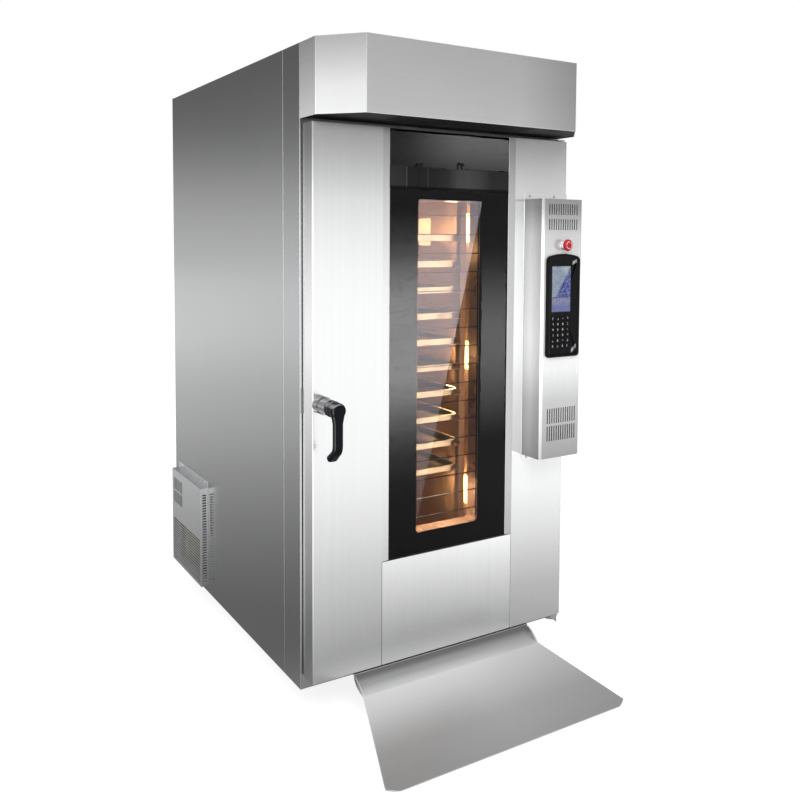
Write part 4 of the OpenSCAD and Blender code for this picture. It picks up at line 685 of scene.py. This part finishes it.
class OvenFinishes(bpy.types.PropertyGroup):
    """Colours and shine of the oven's surfaces."""

    door_steel: colour_prop("Door steel", "Stainless of the door and canopy", (0.72, 0.723, 0.727))
    # the sides' stainless is a darker copy of the door's: partly painted shade, as the sides face away from
    # the light
    side_steel: colour_prop("Side steel", "Stainless of the cabinet's sides", (0.5, 0.505, 0.51))
    steel_rough: amount_prop("Steel roughness", "How soft reflections in the sheet are", 0.2)
    glass_tint: colour_prop("Glass tint", "What the outer pane lets through", (0.62, 0.62, 0.62))
    black_trim: colour_prop("Black trim", "Glass border and controller frame", (0.006, 0.006, 0.007))
    lever_plastic: colour_prop("Lever plastic", "Black plastic of the door lever", (0.004, 0.0045, 0.007))
    stop_red: colour_prop("Stop red", "Red of the stop button", (0.42, 0.01, 0.016))


class OvenStudio(bpy.types.PropertyGroup):
    """Light and floor round the oven."""

    lamp_power: power_prop("Chamber lamp", "Power of each chamber lamp", 5.0, 100.0)
    strip_power: power_prop("Tray light", "Power of the light on the trays", 2.4, 100.0)
    key_power: power_prop("Soft light", "Power of the large soft light", 120.0, 2000.0)
    floor_white: amount_prop("Floor", "How white the floor looks outside the shadow", 0.84)
    surround: amount_prop("Surround", "Brightness of the studio round the oven", 1.0, 3.0)
    card_glow: amount_prop("Card", "Brightness of the card that the pane mirrors", 25.0, 50.0)


def finishes():
    return bpy.context.scene.oven_finishes


def studio():
    return bpy.context.scene.oven_studio


# ------------------------------------------------------------------ lights and sheets of the stage

def hang_area_light(name, spot, aim, size, power, tint=(1.0, 1.0, 1.0)):
    """A rectangular light at spot that shines along aim; returns its object."""
    light = bpy.data.lights.new(name, "AREA")
    light.shape = "RECTANGLE"
    light.size, light.size_y = size
    light.energy = power
    light.color = tint
    holder = bpy.data.objects.new(name, light)
    turn = Vector(aim).to_track_quat("-Z", "Y").to_matrix().to_4x4()
    holder.matrix_world = Matrix.Translation(spot) @ turn
    bpy.context.scene.collection.objects.link(holder)
    return holder


def lay_sheet(name, corners, finish):
    """A flat sheet of the stage between four corners; returns its object."""
    mesh = bpy.data.meshes.new(name)
    mesh.from_pydata(corners, [], [(0, 1, 2, 3)])
    mesh.materials.append(finish)
    sheet = bpy.data.objects.new(name.replace(" ", "_"), mesh)
    bpy.context.scene.collection.objects.link(sheet)
    return sheet


# ------------------------------------------------------------------ operators

class OVEN_OT_cabinet_skins(bpy.types.Operator):
    """Finishes the cabinet's outer sheets and its front frame"""

    bl_idname = "oven.cabinet_skins"
    bl_label = "Cabinet skins"

    def execute(self, context):
        side = tuple(finishes().side_steel)
        rough = finishes().steel_rough
        # painted shade: the side panels and the front frame are painted darker towards the top
        upright = (2, 0.1, 2.1, [(0.0, 1.0), (0.62, 1.0), (0.8, 0.84), (0.98, 0.5), (1.0, 0.5)])
        for node in ("left_side_panel", "right_side_panel", "rear_panel"):
            dress(node, brushed_steel, side, rough + 0.02, shades=[upright])
        dress("roof_panel", brushed_steel, side, rough + 0.06, "y")
        dress("front_frame", brushed_steel, side, rough, shades=[upright])
        dress("base_frame", sprayed_paint, (0.07, 0.073, 0.076))
        dress("levelling_feet", zinc_plate)
        dress("floor_pan", oven_steel)
        dress("cabinet_insulation", mineral_wool)
        dress("latch_keeper", zinc_plate, (0.3, 0.305, 0.31))
        dress("hinge_brackets", zinc_plate)
        return {"FINISHED"}


class OVEN_OT_door_skins(bpy.types.Operator):
    """Finishes the door's outer sheets, inner pan, insulation and gasket"""

    bl_idname = "oven.door_skins"
    bl_label = "Door skins"

    def execute(self, context):
        steel = tuple(finishes().door_steel)
        rough = finishes().steel_rough
        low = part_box("door_right_stile")[0]
        # painted light and shade on the door's sheets: bands by height, darker at the top and on the right
        # stile low down, a left side face lighter at mid-height, a darker bevel strip, a lighter band
        # beside the control box, and a bottom panel lighter towards its top
        upright = (2, 0.1, 1.9, [(0.0, 1.0), (0.85, 1.0), (0.98, 0.7), (1.0, 0.65)])
        outer = (2, 0.1, 1.9, [(0.0, 0.75), (0.08, 0.9), (0.27, 1.58), (0.48, 1.6), (0.67, 1.24),
                               (0.97, 0.7)], 0, -1.0, -0.4745)
        hinged = (2, 0.1, 1.9, [(0.0, 0.75), (0.1, 0.78), (0.2, 0.98), (0.3, 1.12), (0.5, 1.1), (0.85, 1.0),
                                (0.98, 0.7), (1.0, 0.65)])
        bevel = (0, low.x, low.x + 0.06, [(0.0, 0.62), (0.42, 0.62), (0.45, 1.0)])
        beside = (0, 0.284, 0.334, [(0.0, 1.0), (0.08, 1.4), (0.84, 1.4), (1.0, 1.0)], 2, 0.76, 1.64)
        kick = (2, 0.14, 0.5, [(0.0, 1.0), (0.3, 1.08), (1.0, 1.36)])
        for node, shades in (("door_left_stile", [upright, outer]),
                             ("door_right_stile", [hinged, bevel, beside]),
                             ("door_bottom_panel", [kick])):
            dress(node, brushed_steel, steel, rough, shades=shades,
                  metal=0.6 if node == "door_right_stile" else 1.0)
        dress("door_inner_pan", oven_steel, (0.7, 0.41, 0.26), (0.54, 0.28, 0.17), 0.2)
        dress("door_insulation", mineral_wool)
        dress("door_gasket", silicone_seal)
        dress("glass_clamp_bar", clamp_black)
        dress("door_screws", polished_metal, (0.6, 0.6, 0.61), 0.2)
        return {"FINISHED"}


class OVEN_OT_door_glass(bpy.types.Operator):
    """Finishes the panes, the black border and the wire guard of the door's window"""

    bl_idname = "oven.door_glass"
    bl_label = "Door glass"

    def execute(self, context):
        tint = tuple(finishes().glass_tint)
        dress("outer_glass", pane_glass, tint)
        dress("inner_glass", pane_glass, (0.95, 0.95, 0.94), 0.15)
        dress("glass_border", fired_border, tuple(finishes().black_trim))
        dress("window_guard", oxide_steel, (0.012, 0.01, 0.01), (0.06, 0.045, 0.04))
        return {"FINISHED"}


class OVEN_OT_chamber(bpy.types.Operator):
    """Finishes the baking chamber, its heaters, steam cascade, fan and lamps, and lights the lamps"""

    bl_idname = "oven.chamber"
    bl_label = "Baking chamber"

    def execute(self, context):
        dress("chamber_walls", oven_steel)
        dress("chamber_rear_wall", oven_steel)
        dress("heating_elements", oxide_steel, (0.07, 0.06, 0.06))
        dress("steam_cascade", cast_iron)
        dress("fan_impeller", zinc_plate)
        dress("fan_motor", sprayed_paint, (0.1, 0.13, 0.17))
        dress("lamp_housings", zinc_plate)
        dress("lamp_glasses", lamp_cover)
        low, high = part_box("lamp_glasses")
        half = 0.062                           # from a glass's middle to its rim
        z_low, z_high = low.z + half, high.z - half
        places = [(low.y + half, z_low), (low.y + half, (z_low + z_high) / 2),
                  (low.y + half, z_high), (high.y - half, z_high)]
        for number, (y, z) in enumerate(places, 1):
            far = number == 4                  # the one deep in the chamber is only glimpsed
            self.hang_lamp(context, f"Chamber lamp {number}", (low.x - (0.12 if far else 0.05), y, z),
                           studio().lamp_power * (0.2 if far else 1.0))
        self.hang_strips()
        return {"FINISHED"}

    def hang_lamp(self, context, name, spot, power):
        lamp = bpy.data.lights.new(name, "POINT")
        lamp.energy = power
        lamp.color = (1.0, 0.6, 0.26)
        lamp.shadow_soft_size = 0.03
        holder = bpy.data.objects.new(name, lamp)
        holder.location = spot
        context.scene.collection.objects.link(holder)

    def hang_strips(self):
        """Warm lights that the camera doesn't see: a tall strip inside the door's right-hand side for
        the trays' fronts and, between the panes, a strip for the window box's side, one for its sill
        and three small glows. Those between the panes light only what stands round the window."""
        low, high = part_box("inner_glass")
        tall = high.z - low.z
        power = studio().strip_power
        between = (low.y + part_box("window_guard")[1].y) / 2
        self.hang_strip("Tray light", (0.17, high.y + 0.03, (low.z + high.z) / 2),
                        (-0.35, 0.94, 0.0), (0.16, tall - 0.1), power)
        near = bpy.data.collections.new("Round the window")
        for node in ("door_inner_pan", "window_guard", "baking_trays", "trolley_frame", "chamber_walls"):
            near.objects.link(NODES[node])
        self.hang_strip("Window side light", (low.x + 0.03, between, (low.z + high.z) / 2),
                        (1.0, 0.0, -0.2), (0.03, tall - 0.26), power * 0.12, near)
        self.hang_strip("Window sill light", (low.x + 0.12, between, low.z + 0.17),
                        (0.0, 0.0, -1.0), (0.16, 0.03), power * 1.1, near, (1.0, 0.9, 0.72))
        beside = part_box("window_guard")[1].x - 0.045      # the window's right edge
        heights = (0.66, 1.115, 1.47)
        for number, z in enumerate(heights, 1):
            self.hang_strip(f"Window glow {number}", (beside, between, z), (1.0, 0.0, 0.0),
                            (0.03, 0.03), power * 0.035, near, (1.0, 0.82, 0.46))

    def hang_strip(self, name, spot, aim, size, power, lit=None, tint=(1.0, 0.72, 0.46)):
        """A warm light that the camera doesn't see; lit is the collection that it shines on."""
        strip = hang_area_light(name, spot, aim, size, power, tint)
        strip.visible_camera = False
        if lit:
            strip.light_linking.receiver_collection = lit


class OVEN_OT_rack(bpy.types.Operator):
    """Finishes the turning carrier, the trolley, its trays, castors and wheels"""

    bl_idname = "oven.rack"
    bl_label = "Rack and trays"

    def execute(self, context):
        dress("rack_carrier", oven_steel)
        dress("trolley_frame", oven_steel)
        dress("baking_trays", tray_aluminium)
        for side in ("left", "right"):
            dress(f"castor_fork_{side}", zinc_plate)
        for wheel in ("front_left", "front_right", "rear_left", "rear_right"):
            dress(f"{wheel}_wheel", moulded_plastic, (0.05, 0.038, 0.03))
        return {"FINISHED"}


class OVEN_OT_canopy(bpy.types.Operator):
    """Finishes the canopy over the door and its black underside"""

    bl_idname = "oven.canopy"
    bl_label = "Canopy"

    def execute(self, context):
        steel = times(finishes().door_steel, 0.816)
        # painted light and shade on the canopy: lighter low down, darker towards its right-hand end, the
        # corner chamfer darker towards the top and the left side lighter low down
        upright = (2, 1.86, 2.1, [(0.0, 1.12), (1.0, 0.98)])
        across = (0, -0.3, 0.5, [(0.0, 1.0), (0.6, 0.98), (1.0, 0.58)])
        corner = (2, 1.95, 2.1, [(0.0, 1.12), (1.0, 0.7)], 0, -0.4835, -0.3805)
        side = (2, 1.86, 2.1, [(0.0, 1.66), (1.0, 0.8)], 0, -1.0, -0.4835)
        dress("hood_shell", brushed_steel, steel, finishes().steel_rough, "x",
              [upright, across, corner, side], metal=0.7)
        dress("hood_base", sprayed_paint, (0.006, 0.006, 0.007), 0.7, worn=(0.02, 0.02, 0.02))
        return {"FINISHED"}


class OVEN_OT_controls(bpy.types.Operator):
    """Finishes the control box, the controller, the stop button and the door lever"""

    bl_idname = "oven.controls"
    bl_label = "Controls"

    def execute(self, context):
        steel = tuple(finishes().door_steel)
        rough = finishes().steel_rough
        # painted light and shade on the control box: bands by height, darker low and high, a painted
        # highlight along its front left corner, its left face lighter towards the front, and painted shade
        # inside the box behind its vent slots
        upright = (2, 0.75, 1.65, [(0.0, 0.42), (0.23, 0.72), (0.35, 1.08), (0.47, 1.2),
                                   (0.77, 0.9), (0.86, 0.8), (0.96, 0.4), (1.0, 0.38)])
        low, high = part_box("control_box")
        corner = (0, low.x, low.x + 0.02, [(0.0, 1.0), (0.06, 1.8), (0.5, 1.8), (0.64, 1.0)])
        inside = (low + Vector((0.02, 0.0002, 0.0009)), high - Vector((0.01, 0.0, 0.0009)))
        flank = (1, low.y, high.y, [(0.0, 1.3), (0.5, 1.0), (1.0, 0.72)], 0, 0.0, low.x + 0.0005)
        dress("control_box", brushed_steel, steel, rough + 0.05, shades=[upright, corner, flank],
              edge=0.0006, metal=0.35, hollow=inside)
        dress("control_box_backplate", brushed_steel, steel, rough, edge=0.0003)
        self.make_frame()
        self.make_stop()
        self.make_lever()
        return {"FINISHED"}

    def make_frame(self):
        """Frame, display, keys and their marks."""
        low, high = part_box("controller_bezel")
        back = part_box("control_box")[0].y
        front = low.y
        glints = [(high.x - 0.026, high.z - 0.028, 0.01, 0.006, 0.4),
                  (high.x - 0.026, low.z + 0.028, 0.011, 0.0075, 0.8)]
        rows = [(back, 0.0, 0.0), (front + 0.0035, 0.0, 0.0), (front + 0.001, 0.0008, 0.2),
                (front - 0.0006, 0.003, 0.2), (front - 0.001, 0.0052, 0.3), (front - 0.0006, 0.0075, 0.4),
                (front + 0.0012, 0.0095, 0.5), (front + 0.0016, 0.0125, 0.6)]
        put("controller_frame", crowned_frame((low.x, low.z), (high.x, high.z), 0.0115, rows),
            frame_gloss("Gloss black frame", tuple(finishes().black_trim), glints), "door",
            ("controller_bezel",))
        dress("controller_screen", display_face, *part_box("controller_screen"))
        dress("keypad", moulded_plastic, (0.004, 0.004, 0.005), 0.4, 0.1, 0.06)
        pad_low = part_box("keypad")[0]
        pitch_x, pitch_z = 0.022, 0.0188
        columns = pad_low.x + 0.0107 + pitch_x * np.arange(4)
        rows_z = pad_low.z + pitch_z / 2 + pitch_z * np.arange(5, -1, -1)
        put("key_marks", key_marks(columns, rows_z, pad_low.y, 0.0016),
            sprayed_paint("Key print", (0.85, 0.85, 0.86), 0.5, 0.05, (0.6, 0.6, 0.6)), "door")

    def make_stop(self):
        """Red head with its printed ring; its stem and collar keep their solids."""
        dress("estop_collar", polished_metal, (0.86, 0.86, 0.87))
        dress("estop_stem", polished_metal, (0.8, 0.8, 0.81))
        low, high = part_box("estop_head")
        middle = ((low.x + high.x) / 2, (low.z + high.z) / 2)
        radius = (high.x - low.x) / 2
        front = low.y + 0.006
        deep = high.y - front
        profile = [(0.0, 0.0), (0.0, radius * 0.42), (-0.0006, radius * 0.48), (-0.0006, radius * 0.72),
                   (0.0, radius * 0.76), (0.0012, radius * 0.84), (0.0042, radius * 0.95),
                   (0.0075, radius), (deep - 0.004, radius), (deep - 0.0015, radius * 0.95),
                   (deep, radius * 0.8), (deep, 0.0)]
        shape = turned((middle[0], front, middle[1]), profile)
        put("stop_button", shape, stop_red("Red button", tuple(finishes().stop_red), middle), "stop_head",
            ("estop_head",), 0.9)

    def make_lever(self):
        """Black moulding of the lever: stepped hub with a rounded front face, and its bent arm."""
        low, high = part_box("lever_grip")
        x = (low.x + high.x) / 2
        hub_radius = 0.025
        z = high.z - hub_radius
        front = low.y
        hub = [(0.0, 0.0), (0.0002, 0.0165), (0.0012, 0.0196), (0.0034, 0.0218), (0.0065, 0.0231),
               (0.011, 0.0235), (0.0345, 0.0236), (0.0352, 0.0228), (0.0362, 0.0228), (0.037, 0.0247),
               (0.038, 0.025), (0.0525, 0.025), (0.0539, 0.0236), (0.0539, 0.0)]
        # black plastic with a painted highlight on its upper left and its left side
        black = highlit_plastic("Lever plastic", tuple(finishes().lever_plastic))
        shape = turned((x, front, z), hub) + bent_grip((x, z), front)
        put("lever_moulding", shape, black, "lever", ("lever_grip",), 0.9)
        # the neck's chrome has painted reflection bands
        dress("lever_neck", polished_metal, (0.86, 0.86, 0.87), 0.14, True)
        dress("lever_spindle", polished_metal, (0.6, 0.6, 0.6), 0.2)
        return {"FINISHED"}


class OVEN_OT_ramp(bpy.types.Operator):
    """Finishes the loading ramp"""

    bl_idname = "oven.ramp"
    bl_label = "Ramp"

    def execute(self, context):
        # painted light and shade on the ramp: a lighter copy of the door steel, darker towards its front
        # and its right-hand end, and a painted shadow under the door along its nose
        steel = times(finishes().door_steel, 1.36)
        along = (1, -0.91, -0.54, [(0.0, 0.48), (0.35, 0.57), (0.75, 0.84), (1.0, 1.0)])
        across = (0, -0.45, 0.5, [(0.0, 0.92), (0.5, 0.95), (1.0, 0.82)])
        nose = (1, -0.575, -0.508, [(0.0, 1.0), (0.45, 0.62), (1.0, 0.1)])
        dress("ramp_plate", brushed_steel, steel, 0.34, "x", [along, across, nose], metal=0.6)
        return {"FINISHED"}


class OVEN_OT_services(bpy.types.Operator):
    """Finishes the side vent cover, the flue, the gearmotor and the service entries"""

    bl_idname = "oven.services"
    bl_label = "Vents and services"

    def execute(self, context):
        side = tuple(finishes().side_steel)
        cover = times(side, 1.7)
        dress("side_vent_cover", brushed_steel, cover, 0.3)
        dress("cover_screws", polished_metal, (0.6, 0.6, 0.61), 0.2)
        dress("flue_collar", brushed_steel, side, 0.3)
        dress("gearmotor", sprayed_paint, (0.1, 0.13, 0.17))
        dress("water_inlet", polished_metal, (0.6, 0.43, 0.18), 0.22)
        dress("cable_gland", moulded_plastic, (0.02, 0.02, 0.02))
        return {"FINISHED"}


class OVEN_OT_stage(bpy.types.Operator):
    """Sets up the camera, the pale floor and the studio light"""

    bl_idname = "oven.stage"
    bl_label = "Studio"

    def execute(self, context):
        self.set_camera(context.scene)
        self.lay_floor()
        self.stand_card()
        self.light_world(context.scene)
        self.hang_light()
        context.scene.view_settings.view_transform = "Standard"
        return {"FINISHED"}

    def set_camera(self, scene):
        view = bpy.data.cameras.new("Camera")
        view.sensor_width = 36.0
        view.lens = 39.294
        view.shift_x = -0.02876
        view.shift_y = -0.13675
        view.clip_start = 0.05
        holder = bpy.data.objects.new("Camera", view)
        aim = (Matrix.Rotation(math.radians(-32.285), 4, "Z")
               @ Matrix.Rotation(math.radians(90.0 - 3.519), 4, "X")
               @ Matrix.Rotation(math.radians(0.381), 4, "Z"))
        holder.matrix_world = Matrix.Translation(EYE) @ aim
        scene.collection.objects.link(holder)
        scene.camera = holder

    def lay_floor(self):
        """A floor that is white to the camera but keeps the shadow, and that a piece mirrors as
        the photo's studio does: paler with the distance, and more so ahead of the door."""
        reach = 30.0
        f, at = finish_named("Studio floor")
        x, y, _ = f.parts(at)
        far = (x * x + y * y) ** 0.5 * 0.1
        seen, mirrored = f.rays("Is Camera Ray", "Is Glossy Ray")
        grit = f.noise(at, 3.0, 3.0)
        plain = f.shader("BsdfDiffuse", Color=f.blend(grit, (0.72, 0.72, 0.72), (0.76, 0.76, 0.76)))
        lift = f.shader("Emission", Color=(1.0, 1.0, 1.0), Strength=studio().floor_white)
        soft = f.shader("BsdfDiffuse", Color=(0.4, 0.4, 0.4))
        shown = f.node("AddShader", {}, {0: lift, 1: soft})
        ahead = f.tones(far, [(0.08, 0.42), (0.127, 0.7), (0.205, 1.05), (0.316, 1.35), (1.0, 1.45)])
        beside = f.tones(far, [(0.08, 0.2), (0.18, 0.34), (0.395, 0.62), (1.0, 1.0)])
        tone = beside + (ahead - beside) * (-y).ramp(-0.1, 0.7)
        bounce = f.shader("Emission", Color=(1.0, 1.0, 1.0), Strength=tone)
        corners = [(a * reach, b * reach, 0.0) for a, b in ((-1, -1), (1, -1), (1, 1), (-1, 1))]
        lay_sheet("Studio floor", corners,
                  f.surface(f.mixed(seen, f.mixed(mirrored, plain, bounce), shown)))

    def stand_card(self):
        """A soft card in front of the oven that only the outer pane mirrors: its corners are the
        pane's points, carried on along the mirrored lines of sight to the card's plane, so that a
        place on the card goes back to a place (x, z) on the pane."""
        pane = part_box("outer_glass")[0].y
        eye = np.array(EYE)
        reach = 0.5              # from the pane to the card, as a share of the eye's distance
        on_pane = np.array([(-0.26, pane, 1.9), (0.28, pane, 1.9), (0.28, pane, 0.5), (-0.26, pane, 0.5)])
        corners = on_pane + (on_pane - eye) * (1.0, -1.0, 1.0) * reach
        f, at = finish_named("Soft card")
        across, _, up = f.parts(at)
        x = (across + reach * eye[0]) / (1.0 + reach)
        z = (up + reach * eye[2]) / (1.0 + reach)
        left = f.tones((z - 0.67) / 0.93, [
            (0.0, 0.0), (0.07, 0.015), (0.14, 0.06), (0.21, 0.17), (0.28, 0.39), (0.35, 0.73), (0.42, 0.95),
            (0.48, 1.0), (0.62, 1.0), (0.69, 0.92), (0.76, 0.66), (0.83, 0.32), (0.9, 0.115), (0.97, 0.03),
            (1.0, 0.0)])
        veil = f.tones((z - 0.5) / 1.2, [(0.0, 0.16), (0.2, 0.26), (0.42, 0.5), (0.6, 1.0), (0.75, 1.05),
                                         (0.9, 0.75), (1.0, 0.6)])
        right = (z.ramp(0.8, 1.17) * (1.0 - z.ramp(1.17, 1.5))) * 0.42
        top = z.ramp(1.62, 1.79) * 0.07 + z.ramp(1.665, 1.86) * x.ramp(-0.19, 0.1) * 0.42
        wedge = 1.0 - (x - (z - 0.58) * 0.24 + 0.105).ramp(0.0, 0.004)
        beyond_left = x.above(-0.102)          # past the window's left edge
        in_window = beyond_left * (1.0 - z.above(1.636)) * z.above(0.535)
        glow = left * (1.0 - beyond_left) + veil * in_window * wedge + right * x.above(0.15) + top
        cool = f.blend(in_window * (1.0 - x.above(0.147)), (1.04, 1.0, 0.97), (0.97, 0.93, 1.0))
        lit = f.shader("Emission", Color=cool, Strength=glow * studio().card_glow)
        card = lay_sheet("Soft card", corners.tolist(),
                         f.surface(f.node("AddShader", {}, {0: lit, 1: f.shader("BsdfTransparent")})))
        card.visible_camera = card.visible_diffuse = card.visible_shadow = False
        mirrors = bpy.data.collections.new("Mirrors the card")
        mirrors.objects.link(NODES["outer_glass"])
        card.light_linking.receiver_collection = mirrors

    def light_world(self, scene):
        world = bpy.data.worlds.new("Studio")
        f = Finish(world)
        x, y, z = f.parts(f.node("TexCoord", out="Generated"))
        sky = f.tones(z * 0.5 + 0.5, [(0.45, 1.5), (0.5, 1.3), (0.52, 1.05), (0.535, 0.78),
                                      (0.56, 0.42), (0.6, 0.42), (0.65, 0.4), (0.76, 0.5),
                                      (0.88, 1.15), (1.0, 1.2)])
        left_glow = (x * -0.83 - y * 0.55).ramp(0.6, 1.0)
        around = (0.88 - y * 0.5 - x * 0.535).most(0.45) + left_glow * 0.8
        tone = sky * around * studio().surround
        seen, mirrored, through = f.rays("Is Camera Ray", "Is Glossy Ray", "Is Transmission Ray")
        white = (seen + through + mirrored * 0.06).least(1.0)
        level = tone * (1.0 - white) + white
        f.surface(f.shader("Background", Color=(1.0, 1.0, 1.0), Strength=level))
        scene.world = world

    def hang_light(self):
        spot = Vector((-1.8, -4.2, 4.2))
        middle = Vector((0.0, 0.0, 1.0))
        light = hang_area_light("Soft light", spot, middle - spot, (3.0, 2.4), studio().key_power)
        light.visible_glossy = False


class OVEN_PT_panel(bpy.types.Panel):
    """Lists the oven's settings and steps in the 3D view's sidebar"""

    bl_idname = "OVEN_PT_panel"
    bl_label = "Rotating rack oven"
    bl_space_type = "VIEW_3D"
    bl_region_type = "UI"
    bl_category = "Rack Oven"

    def draw(self, context):
        for group in (context.scene.oven_finishes, context.scene.oven_studio):
            box = self.layout.box()
            for name in group.bl_rna.properties.keys():
                if name not in ("rna_type", "name"):
                    box.prop(group, name)
        for step in STEPS:
            self.layout.operator(step.bl_idname)


STEPS = (OVEN_OT_cabinet_skins, OVEN_OT_door_skins, OVEN_OT_door_glass, OVEN_OT_chamber, OVEN_OT_rack,
         OVEN_OT_canopy, OVEN_OT_controls, OVEN_OT_ramp, OVEN_OT_services, OVEN_OT_stage)
CLASSES = (OvenFinishes, OvenStudio) + STEPS + (OVEN_PT_panel,)


def register():
    for kind in CLASSES:
        bpy.utils.register_class(kind)
    bpy.types.Scene.oven_finishes = bpy.props.PointerProperty(type=OvenFinishes)
    bpy.types.Scene.oven_studio = bpy.props.PointerProperty(type=OvenStudio)


def unregister():
    del bpy.types.Scene.oven_studio
    del bpy.types.Scene.oven_finishes
    for kind in reversed(CLASSES):
        bpy.utils.unregister_class(kind)


def main():
    """Runs every step in order."""
    register()
    for step in STEPS:
        group, name = step.bl_idname.split(".")
        getattr(getattr(bpy.ops, group), name)()


if __name__ == "__main__":
    main()
